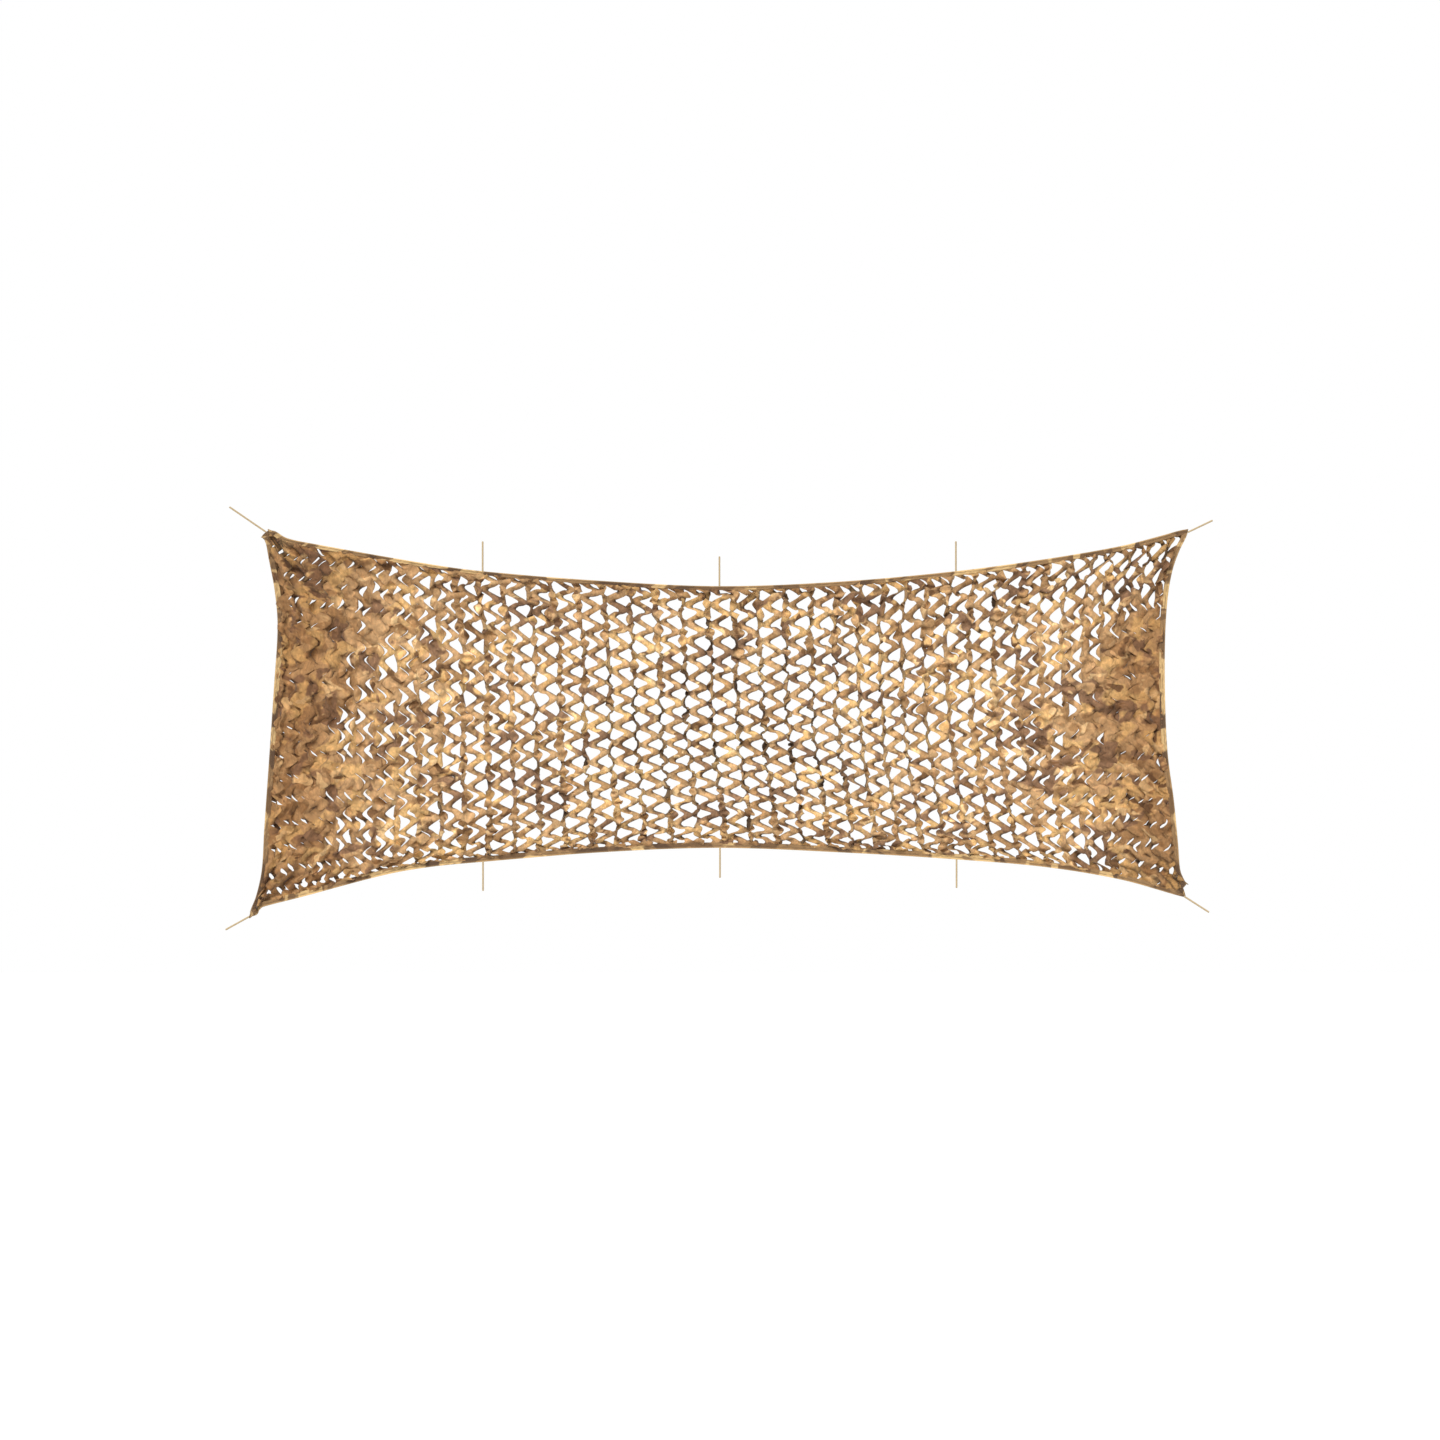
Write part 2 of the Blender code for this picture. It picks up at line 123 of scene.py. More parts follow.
RIGHT_RIM = (  # x, z
    (2.501, 0.305),
    (2.492, 0.267),
    (2.455, 0.192),
    (2.417, 0.085),
    (2.391, -0.064),
    (2.377, -0.288),
    (2.377, -0.608),
    (2.391, -0.901),
    (2.423, -1.141),
    (2.446, -1.380),
    (2.457, -1.514),
    (2.478, -1.567),
    (2.490, -1.588),
    (2.470, -1.615),
    (2.478, -1.658),
)

GATHERS = (  # from x, from z, to x, to z, rise, half width
    (-2.37, 0.24, -2.11, -0.20, -0.034, 0.050),
    (-2.36, 0.16, -2.27, -0.42, 0.028, 0.050),
    (-2.30, 0.22, -1.80, 0.02, 0.024, 0.050),
    (-2.43, -1.66, -2.14, -1.28, 0.032, 0.050),
    (-2.41, -1.60, -2.32, -1.00, -0.026, 0.050),
    (2.43, 0.22, 2.18, -0.12, 0.028, 0.050),
    (2.40, 0.10, 2.31, -0.45, -0.024, 0.050),
    (2.42, -1.61, 2.06, -1.42, 0.034, 0.050),
    (2.41, -1.55, 2.24, -1.02, -0.028, 0.050),
    (2.12, -0.50, 2.26, -0.95, 0.028, 0.065),
    (2.02, -0.80, 2.10, -1.25, -0.024, 0.065),
    (-2.20, -0.45, -2.12, -1.00, 0.024, 0.065),
)

# How far the threads have been drawn apart along the net, and how open the mouths stand
DRAW = (  # thread, u
    (0.0, 0.0),
    (5.0, 0.0962),
    (10.0, 0.218),
    (15.0, 0.3535),
    (20.0, 0.4955),
    (25.0, 0.635),
    (30.0, 0.756),
    (35.0, 0.889),
    (40.3, 1.0),
)
OPEN_ROWS = (0.08, 0.30, 0.50, 0.70, 0.92)  # v of each column below
OPENNESS = (  # u, then how far the mouths stand open in each row
    (0.000, 0.00, 0.00, 0.00, 0.00, 0.00),
    (0.040, 0.05, 0.02, 0.00, 0.03, 0.12),
    (0.065, 0.12, 0.07, 0.12, 0.11, 0.15),
    (0.090, 0.17, 0.19, 0.23, 0.18, 0.19),
    (0.140, 0.24, 0.26, 0.24, 0.24, 0.27),
    (0.195, 0.31, 0.31, 0.28, 0.28, 0.31),
    (0.250, 0.41, 0.44, 0.39, 0.39, 0.41),
    (0.320, 0.44, 0.58, 0.56, 0.53, 0.43),
    (0.450, 0.40, 0.68, 0.80, 0.75, 0.42),
    (0.700, 0.40, 0.60, 0.66, 0.60, 0.43),
    (0.780, 0.43, 0.44, 0.46, 0.44, 0.45),
    (0.820, 0.44, 0.38, 0.36, 0.35, 0.45),
    (0.845, 0.44, 0.23, 0.15, 0.22, 0.38),
    (0.875, 0.52, 0.36, 0.26, 0.21, 0.38),
    (0.910, 0.62, 0.29, 0.12, 0.12, 0.31),
    (0.940, 0.67, 0.09, 0.00, 0.07, 0.20),
    (0.975, 0.63, 0.00, 0.00, 0.02, 0.12),
    (1.000, 0.39, 0.00, 0.00, 0.00, 0.05),
)
SETTLING = (  # u, how far the rows sink on to the bottom hem, and hang down from the top
    (0.00, 0.070, 0.000),
    (0.20, 0.070, 0.000),
    (0.27, 0.058, 0.000),
    (0.38, 0.030, 0.020),
    (0.50, 0.012, 0.050),
    (0.60, 0.012, 0.055),
    (0.68, 0.030, 0.055),
    (0.76, 0.042, 0.015),
    (0.88, 0.045, 0.000),
    (1.00, 0.045, 0.000),
)

FLAP_SKIRT = 0.001  # how far out from its root a flap starts

# One mouth, cut flat: its line from the upper end round the tip to the lower end
MOUTH_CUT = (  # out from the thread, up from the mouth's middle
    (0.0040, 0.0443),
    (0.0174, 0.0360),
    (0.0316, 0.0268),
    (0.0453, 0.0161),
    (0.0569, 0.0044),
    (0.0608, -0.0043),
    (0.0569, -0.0126),
    (0.0457, -0.0239),
    (0.0320, -0.0350),
    (0.0180, -0.0462),
    (0.0040, -0.0559),
)

TIES = (  # name, exit x, y, z, end x, y, z
    ("tie_top_left", -1.26300, 0.00229, 0.08091, -1.26300, 0.00229, 0.23891),
    ("tie_top_middle", 0.00000, 0.00000, 0.00072, 0.00000, 0.00000, 0.15872),
    ("tie_top_right", 1.26100, -0.00232, 0.08126, 1.26100, -0.00232, 0.23926),
    ("tie_bottom_left", -1.26100, 0.00057, -1.47170, -1.26100, 0.00057, -1.62570),
    ("tie_bottom_middle", 0.00300, -0.00316, -1.39674, 0.00300, -0.00316, -1.55574),
    ("tie_bottom_right", 1.26500, 0.00531, -1.45898, 1.26500, 0.00531, -1.60998),
    ("tie_corner_top_left", -2.42009, -0.00551, 0.29015, -2.61309, -0.00551, 0.42215),
    ("tie_corner_top_right", 2.50105, 0.00428, 0.28871, 2.63105, 0.00428, 0.35071),
    ("tie_corner_bottom_left", -2.50649, 0.00166, -1.76186, -2.63449, 0.00166, -1.83286),
    ("tie_corner_bottom_right", 2.48051, -0.00679, -1.65616, 2.61051, -0.00679, -1.73916),
)

CORNER_FOLDS = (  # painted shade of the gathers at each corner: u, v, reach, strength
    (0.0, 0.0, 0.40, 1.00),
    (0.0, 1.0, 0.30, 0.85),
    (1.0, 0.0, 0.20, 0.60),
    (1.0, 1.0, 0.36, 1.00),
)
EARS = (  # name, base x, y, z, tip x, y, z, width
    ("ear_top_left_upper", -2.3740, -0.0080, 0.2770, -2.4080, -0.0075, 0.3030, 0.021),
    ("ear_top_left_lower", -2.4000, -0.0090, 0.2580, -2.4440, -0.0075, 0.2610, 0.018),
    ("ear_bottom_left", -2.4800, -0.0030, -1.7260, -2.5060, -0.0020, -1.7700, 0.030),
    ("ear_bottom_right_side", 2.4560, 0.0020, -1.5640, 2.5010, 0.0030, -1.5920, 0.016),
    ("ear_bottom_right_end", 2.4600, 0.0030, -1.6080, 2.4860, 0.0040, -1.6600, 0.024),
)


class Facing(Enum):
    """Which way a mouth's tip points from its thread."""

    RIGHT = 1
    LEFT = -1


class Edge(Enum):
    """One bound edge of the net, by its node's name."""

    TOP = "binding_top"
    BOTTOM = "binding_bottom"
    LEFT = "binding_left"
    RIGHT = "binding_right"


TAPE_SHADING = {  # how dark each tape is painted at its start and at its end, as shade of its gathers, and in between
    Edge.TOP: (1.0, 0.25, 0.0),
    Edge.BOTTOM: (0.9, 0.9, 0.0),
    Edge.LEFT: (0.9, 0.7, 0.45),
    Edge.RIGHT: (0.25, 1.0, 0.28),
}


def smooth(share: np.ndarray | float) -> np.ndarray | float:
    """An S-shaped step from 0 to 1."""
    share = np.clip(share, 0.0, 1.0)
    return share * share * (3 - 2 * share)


def ease(low: float, high: float, value: np.ndarray) -> np.ndarray:
    """The S-shaped step from 0 at low to 1 at high."""
    return smooth((value - low) / (high - low))


class Rim:
    """A smooth line through a short table of points, read by its share of length."""

    SUBSTEPS = 12

    def __init__(self, table: Sequence[tuple[float, float]]) -> None:
        """Lays the curve through the table.

        Args:
            table: x and z of each point, in order.
        """
        corners = np.array(table)
        ends = np.vstack([2 * corners[0] - corners[1], corners, 2 * corners[-1] - corners[-2]])
        parts = [corners[:1]]
        t = (np.arange(1, self.SUBSTEPS + 1) / self.SUBSTEPS)[:, None]
        for before, start, end, after in zip(ends, ends[1:], ends[2:], ends[3:]):
            span = np.linalg.norm(end - start)
            leave = span * (end - before) / max(np.linalg.norm(start - before) + span, 1e-9)
            arrive = span * (after - start) / max(np.linalg.norm(after - end) + span, 1e-9)
            parts.append(
                (2 * t**3 - 3 * t**2 + 1) * start
                + (t**3 - 2 * t**2 + t) * leave
                + (3 * t**2 - 2 * t**3) * end
                + (t**3 - t**2) * arrive
            )
        self.points = np.vstack(parts)
        steps = np.linalg.norm(np.diff(self.points, axis=0), axis=1)
        self.lengths = np.concatenate([[0.0], np.cumsum(steps)])

    def at(self, share: np.ndarray) -> np.ndarray:
        """The points, x and z, at shares of the line's length.

        Args:
            share: one share, 0 to 1, for each point.

        Returns:
            An array of one x, z row for each share.
        """
        target = np.clip(share, 0.0, 1.0) * self.lengths[-1]
        columns = [np.interp(target, self.lengths, self.points[:, i]) for i in (0, 1)]
        return np.stack(columns, axis=-1)


@dataclass
class StrungShape:
    """The surface in which the net hangs between its four rims."""

    billow: float = 0.020
    edge_wave: float = 0.007
    edge_wave_along: float = 11.0
    edge_wave_down: float = 2.5
    cloth_wave: float = 0.014
    ripple_along: float = 31.0
    ripple_lean: float = 3.0
    ripple_down: float = 7.5
    ripple_drift: float = 5.0
    taut_edge: float = 0.036
    taut_width: float = 0.16
    top: Rim = field(default_factory=lambda: Rim(TOP_RIM))
    bottom: Rim = field(default_factory=lambda: Rim(BOTTOM_RIM))
    left: Rim = field(default_factory=lambda: Rim(LEFT_RIM))
    right: Rim = field(default_factory=lambda: Rim(RIGHT_RIM))

    def __post_init__(self) -> None:
        """Finds the share at which the top rim passes the middle."""
        line = self.top
        self.middle_u = np.interp(0.0, line.points[:, 0], line.lengths) / line.lengths[-1]

    def width(self, v: np.ndarray) -> np.ndarray:
        """How far the left and right rims stand apart at v."""
        return np.linalg.norm(self.left.at(v) - self.right.at(v), axis=-1)

    def height(self, u: np.ndarray) -> np.ndarray:
        """How far the top and bottom rims stand apart at u."""
        return np.linalg.norm(self.top.at(u) - self.bottom.at(u), axis=-1)

    def outline(self, u: np.ndarray, v: np.ndarray) -> np.ndarray:
        """Where the flat net has its points: a patch stretched between the four rims.

        Args:
            u: shares from left to right.
            v: shares from top to bottom.

        Returns:
            One x, z row for each point.
        """
        across = self.top.at(u) * (1 - v[:, None]) + self.bottom.at(u) * v[:, None]
        down = self.left.at(v) * (1 - u[:, None]) + self.right.at(v) * u[:, None]
        upper, lower = (
            rim.at(0 * u) * (1 - u[:, None]) + rim.at(0 * u + 1) * u[:, None]
            for rim in (self.top, self.bottom)
        )
        return across + down - (upper * (1 - v[:, None]) + lower * v[:, None])

    def gathers(self, flat: np.ndarray) -> np.ndarray:
        """The rise of the gathers at points of the flat net.

        Args:
            flat: x and z of each point.

        Returns:
            How far each point stands out to the front.
        """
        rise = np.zeros(len(flat))
        for x0, z0, x1, z1, lift, half_width in GATHERS:
            start, run = np.array((x0, z0)), np.array((x1 - x0, z1 - z0))
            along = (flat - start) @ run / (run @ run)
            aside = np.linalg.norm(flat - start - along[:, None] * run, axis=1) / half_width
            bump = np.sin(np.pi * np.sqrt(np.clip(along, 0, 1))) * np.exp(-aside * aside)
            rise += np.where((along > 0) & (along < 1), lift * bump, 0.0)
        return rise

    def place(self, u: np.ndarray, v: np.ndarray) -> np.ndarray:
        """The points of the strung net in space, in the middle of the cloth.

        Args:
            u: shares from left to right.
            v: shares from top to bottom.

        Returns:
            One x, y, z row for each point.
        """
        flat = self.outline(u, v)
        aside = np.minimum(u, 1 - u) * self.width(v)
        above = np.minimum(v, 1 - v) * self.height(u)
        slack = smooth((np.minimum(aside, above) - self.taut_edge) / self.taut_width)
        front = self.billow * np.sin(np.pi * u) * np.sin(np.pi * v)
        phase = self.edge_wave_along * (u - self.middle_u) + self.edge_wave_down * v
        front += self.edge_wave * np.sin(phase)
        across = np.sin(self.ripple_along * u + self.ripple_lean * v)
        down = np.sin(self.ripple_down * v + self.ripple_drift * u)
        front += slack * (self.cloth_wave * across * down + self.gathers(flat))
        return np.stack([flat[:, 0], -front, flat[:, 1]], axis=-1)


def open_shares(u: np.ndarray, v: np.ndarray) -> np.ndarray:
    """How far the mouths of the net stand open.

    Args:
        u: shares from left to right.
        v: shares from top to bottom.

    Returns:
        One number for each point, from 0, shut, to 1.
    """
    table = np.array(OPENNESS)
    rows = np.stack([np.interp(u, table[:, 0], table[:, i]) for i in range(1, table.shape[1])])
    place = np.interp(v, OPEN_ROWS, np.arange(len(OPEN_ROWS)))
    upper = np.minimum(place.astype(int), len(OPEN_ROWS) - 2)
    part, point = place - upper, np.arange(len(u))
    return rows[upper, point] * (1 - part) + rows[upper + 1, point] * part


@dataclass
class Mouth:
    """One cut in the flat cloth, with the flap that it frees."""

    facing: Facing
    line: list[int]
    shut: bool


@dataclass
class CutPlan:
    """The cloth laid out flat, x to the right and z up from its lower left corner."""

    CLOSE = 0.87  # how near two columns of a flap's points stand, in steps
    FIRST_COLUMN = 0.45  # where its first column stands, in columns
    FLAP_ROOT = 0.0045  # where those columns are counted from
    EDGE_GAPS = 1.3  # how far they stay from the cut, in gaps
    MERGE = 1e-5  # how near two points count as one

    thread_pitch: float = 0.107
    row_pitch: float = 0.125
    threads: float = 40.3
    cut_height: float = 2.0
    lean: float = 0.107
    seam_margin: float = 0.016
    rim_step: float = 0.024
    fill_step: float = 0.0175
    fill_gap: float = 0.0105
    flap_step: float = 0.0090
    flap_gap: float = 0.0050
    unevenness: float = 0.0038
    size_spread: float = 0.07
    most_shut: float = 0.74
    shut_until: float = 0.30
    first_row: float = 0.4
    least_line: int = 4
    seed: int = 5
    points: list[tuple[float, float]] = field(default_factory=list)
    lines: list[tuple[int, int]] = field(default_factory=list)
    mouths: list[Mouth] = field(default_factory=list)

    def __post_init__(self) -> None:
        """Works out the cut width."""
        self.cut_width = self.threads * self.thread_pitch
        self.cell = 2 * self.fill_gap
        self.near: dict[tuple[int, int], list[tuple[float, float]]] = {}
        self.flap_points = self.space_flap()

    def shares(self, points: np.ndarray) -> tuple[np.ndarray, np.ndarray]:
        """The shares of flat points on the strung net.

        Args:
            points: x and z of each flat point.

        Returns:
            u and v of each point.
        """
        table = np.array(DRAW)
        u = np.interp(points[:, 0] / self.thread_pitch, table[:, 0], table[:, 1])
        return u, 1 - points[:, 1] / self.cut_height

    def opened(self, points: np.ndarray) -> np.ndarray:
        """How far the mouths at flat points stand open."""
        return open_shares(*self.shares(points))

    def bands(self, points: np.ndarray) -> np.ndarray:
        """Which band between two threads flat points lie in, and how far across it.

        Args:
            points: x and z of each flat point.

        Returns:
            The number of the thread to the left, with the share of the way to the next.
        """
        lean = self.lean * (0.5 - points[:, 1] / self.cut_height)
        return (points[:, 0] - lean) / self.thread_pitch

    def row_waves(self, points: np.ndarray) -> np.ndarray:
        """A wave from 1 in the middle of each right-facing row to -1 between two."""
        return np.cos(2 * np.pi * (points[:, 1] / self.row_pitch - self.first_row))

    def shut_share(self, x: float, z: float) -> float:
        """The share of the mouths round a point that folds of the cloth keep shut.

        Args:
            x: how far right the flat point lies.
            z: how far up it lies.

        Returns:
            A share from 0 to the greatest.
        """
        u, v = self.shares(np.array([[x, z]]))
        opened = float(open_shares(u, np.clip(v, 0.0, 1.0))[0])
        return self.most_shut * max(1 - opened / self.shut_until, 0.0)

    def space_flap(self) -> list[tuple[float, float]]:
        """Spaces the points inside the flap that one mouth frees.

        Returns:
            How far out from the thread, and up from the mouth's middle, each point lies.
        """
        outs, ups = (list(column) for column in zip(*MOUTH_CUT))
        tip = outs.index(max(outs))
        clear = self.flap_gap * self.EDGE_GAPS
        found = []
        columns = round(max(outs) / (self.flap_step * self.CLOSE))
        for column in range(columns):
            out = self.FLAP_ROOT + (column + self.FIRST_COLUMN) * self.flap_step * self.CLOSE
            if out > max(outs) - self.flap_gap:
                break
            high = float(np.interp(out, outs[: tip + 1], ups[: tip + 1])) - clear
            low = float(np.interp(out, outs[:tip:-1], ups[:tip:-1])) + clear
            steps = max(round((high - low) / self.flap_step), 1)
            if high > low:
                found += [(out, low + (high - low) * i / steps) for i in range(steps + 1)]
        return found

    def add(self, point: tuple[float, float]) -> int:
        """Adds a point to the layout.

        Args:
            point: its x and z.

        Returns:
            The point's number.
        """
        self.points.append(point)
        key = (int(point[0] // self.cell), int(point[1] // self.cell))
        self.near.setdefault(key, []).append(point)
        return len(self.points) - 1

    def inside(self, point: tuple[float, float], margin: float) -> bool:
        """Whether a point lies in the cloth, clear of its raw edge by the margin."""
        x, z = point
        return margin < x < self.cut_width - margin and margin < z < self.cut_height - margin

    def is_clear(self, point: tuple[float, float]) -> bool:
        """Whether no point stands nearer than the fill gap.

        Args:
            point: x and z of the place.

        Returns:
            True where there is room.
        """
        x, z = point
        column, row = int(x // self.cell), int(z // self.cell)
        for i in range(column - 1, column + 2):
            for j in range(row - 1, row + 2):
                for other in self.near.get((i, j), ()):
                    if math.hypot(other[0] - x, other[1] - z) < self.fill_gap:
                        return False
        return True

    def add_mouth(
        self, facing: Facing, thread: int, middle_z: float, jog: float, size: float, shut: bool
    ) -> None:
        """Cuts one mouth at a thread, and spaces the points of its flap.

        Args:
            facing: which way the mouth faces.
            thread: the thread's number.
            middle_z: how far up the mouth's middle lies.
            jog: how far it is cut to the right of its place.
            size: its size beside the pattern's.
            shut: whether its flap lies lapped over it.
        """
        sign = facing.value

        def at(out: float, up: float) -> tuple[float, float]:
            """Finds the flat place of a point of the pattern.

            Args:
                out: how far out from the thread it lies.
                up: how far up from the mouth's middle.

            Returns:
                The place's x and z.
            """
            z = middle_z + up * size
            root = thread * self.thread_pitch + self.lean * (0.5 - z / self.cut_height) + jog
            return root + sign * out * size, z

        line = [at(*row) for row in MOUTH_CUT]
        line = [point for point in line if self.inside(point, self.seam_margin)]
        if len(line) < self.least_line:
            return
        numbers = [self.add(point) for point in line]
        self.lines.extend(pairwise(numbers))
        self.mouths.append(Mouth(facing, numbers, shut))
        for row in self.flap_points:
            point = at(*row)
            if self.inside(point, self.seam_margin):
                self.add(point)

    def add_mouths(self) -> None:
        """Cuts every row: tips to the right on each thread, tips to the left between."""
        draw = random.Random(self.seed)
        rows = round(self.cut_height / self.row_pitch)
        for thread in range(-1, math.ceil(self.threads) + 2):
            for row in range(-1, rows + 2):
                for facing, shift in ((Facing.RIGHT, 0.0), (Facing.LEFT, 0.5)):
                    vary = [draw.uniform(-self.unevenness, self.unevenness) for _ in range(2)]
                    middle_z = (row + self.first_row - shift) * self.row_pitch + vary[0]
                    size = 1 + draw.uniform(-self.size_spread, self.size_spread)
                    share = self.shut_share(thread * self.thread_pitch, middle_z)
                    shut = draw.random() < share
                    self.add_mouth(facing, thread, middle_z, vary[1] / 2, size, shut)

    def add_rim(self) -> None:
        """The raw edge, all the way round."""
        across = math.ceil(self.cut_width / self.rim_step)
        up = math.ceil(self.cut_height / self.rim_step)
        corners = (
            (0.0, 0.0),
            (self.cut_width, 0.0),
            (self.cut_width, self.cut_height),
            (0.0, self.cut_height),
        )
        loop = []
        for side, (start, end) in enumerate(pairwise((*corners, corners[0]))):
            steps = up if side % 2 else across
            for step in range(steps):
                share = step / steps
                x = start[0] + (end[0] - start[0]) * share
                z = start[1] + (end[1] - start[1]) * share
                loop.append(self.add((x, z)))
        self.lines.extend(pairwise((*loop, loop[0])))

    def add_fill(self) -> None:
        """Rows of points, each row shifted by half a step, wherever none is near."""
        rows = round(self.cut_height / (self.fill_step * math.sin(math.radians(60))))
        steps = round(self.cut_width / self.fill_step)
        for row in range(1, rows):
            for step in range(steps):
                x = (step + row % 2 / 2) * self.fill_step
                point = (x, self.cut_height * row / rows)
                if self.inside(point, self.fill_gap) and self.is_clear(point):
                    self.add(point)

    def lay_out(self) -> "CutCloth":
        """Cuts the whole cloth.

        Returns:
            The flat cloth as triangles, parted along every mouth.
        """
        self.add_mouths()
        self.add_rim()
        self.add_fill()
        flat = [Vector(point) for point in self.points]
        cut = delaunay_2d_cdt(flat, self.lines, [], 1, self.MERGE, True)
        number = {source: i for i, sources in enumerate(cut[3]) for source in sources}
        points = np.array([tuple(point) for point in cut[0]])
        faces = np.array([tuple(face) for face in cut[2]])
        for mouth in self.mouths:
            mouth.line = [number[i] for i in mouth.line]
        return CutCloth(points, faces, self.mouths)


class CutCloth:
    """The flat cloth's triangles, with two points wherever a mouth parts them."""

    def __init__(self, points: np.ndarray, faces: np.ndarray, mouths: list[Mouth]) -> None:
        """Parts the triangles along each mouth's line.

        Args:
            points: x and z of each flat point.
            faces: three point numbers for each triangle.
            mouths: the cuts, by the numbers of their points.
        """
        corners = points[faces]
        first, second = corners[:, 1] - corners[:, 0], corners[:, 2] - corners[:, 0]
        turned = first[:, 0] * second[:, 1] - first[:, 1] * second[:, 0] < 0
        faces[turned] = faces[turned][:, ::-1]
        self.mouths = mouths
        before, after = np.full(len(points), -1), np.full(len(points), -1)
        for mouth in mouths:
            for last, here, following in zip(mouth.line, mouth.line[1:], mouth.line[2:]):
                before[here], after[here] = last, following
        parted = np.flatnonzero(before >= 0)
        self.twin = np.full(len(points), -1)
        self.twin[parted] = len(points) + np.arange(len(parted))
        middles = points[faces].mean(axis=1)
        self.faces = faces.copy()
        for corner in range(3):
            at = faces[:, corner]
            rows = np.flatnonzero(before[at] >= 0)
            here = at[rows]
            to_face = bearing(middles[rows] - points[here])
            to_next = bearing(points[after[here]] - points[here])
            to_last = bearing(points[before[here]] - points[here])
            turn = 2 * np.pi
            on_left = np.mod(to_face - to_next, turn) < np.mod(to_last - to_next, turn)
            self.faces[rows[on_left], corner] = self.twin[here[on_left]]
        self.points = np.vstack([points, points[parted]])
        self.from_left = np.argsort(self.points[:, 0])
        self.sorted_x = self.points[self.from_left, 0]

    def flap_edge(self, mouth: Mouth) -> np.ndarray:
        """The point numbers of the flap's own edge, without the mouth's two ends."""
        inner = np.array(mouth.line[1:-1])
        return inner if mouth.facing is Facing.RIGHT else self.twin[inner]

    def wall_edge(self, mouth: Mouth) -> np.ndarray:
        """The point numbers of the edge that faces the flap."""
        inner = np.array(mouth.line[1:-1])
        return self.twin[inner] if mouth.facing is Facing.RIGHT else inner

    def flap(self, mouth: Mouth) -> np.ndarray:
        """Finds the points of the flap that a mouth frees.

        Args:
            mouth: the mouth.

        Returns:
            The point numbers, those of the flap's own edge last.
        """
        line = self.points[mouth.line]
        low, high = np.searchsorted(self.sorted_x, (line[:, 0].min(), line[:, 0].max()))
        near = self.from_left[low:high]
        height = self.points[near, 1]
        near = near[(height > line[:, 1].min()) & (height < line[:, 1].max())]
        taken = (mouth.line, self.flap_edge(mouth), self.wall_edge(mouth))
        near = near[~np.isin(near, np.concatenate(taken))]
        upwards = np.argsort(line[:, 1])
        cut_x = np.interp(self.points[near, 1], line[upwards, 1], line[upwards, 0])
        past_root = self.out_from_root(near, mouth) > FLAP_SKIRT
        short_of_cut = (cut_x - self.points[near, 0]) * mouth.facing.value > 0
        return np.concatenate([near[past_root & short_of_cut], self.flap_edge(mouth)])

    def out_from_root(self, numbers: np.ndarray, mouth: Mouth) -> np.ndarray:
        """How far points lie out from the line between a mouth's two ends.

        Args:
            numbers: the points' numbers.
            mouth: the mouth.

        Returns:
            One distance for each point.
        """
        points, ends = self.points[numbers], self.points[mouth.line][[-1, 0]]
        root_x = np.interp(points[:, 1], ends[:, 1], ends[:, 0])
        return (points[:, 0] - root_x) * mouth.facing.value


def bearing(steps: np.ndarray) -> np.ndarray:
    """The angle of each flat step."""
    return np.arctan2(steps[:, 1], steps[:, 0])


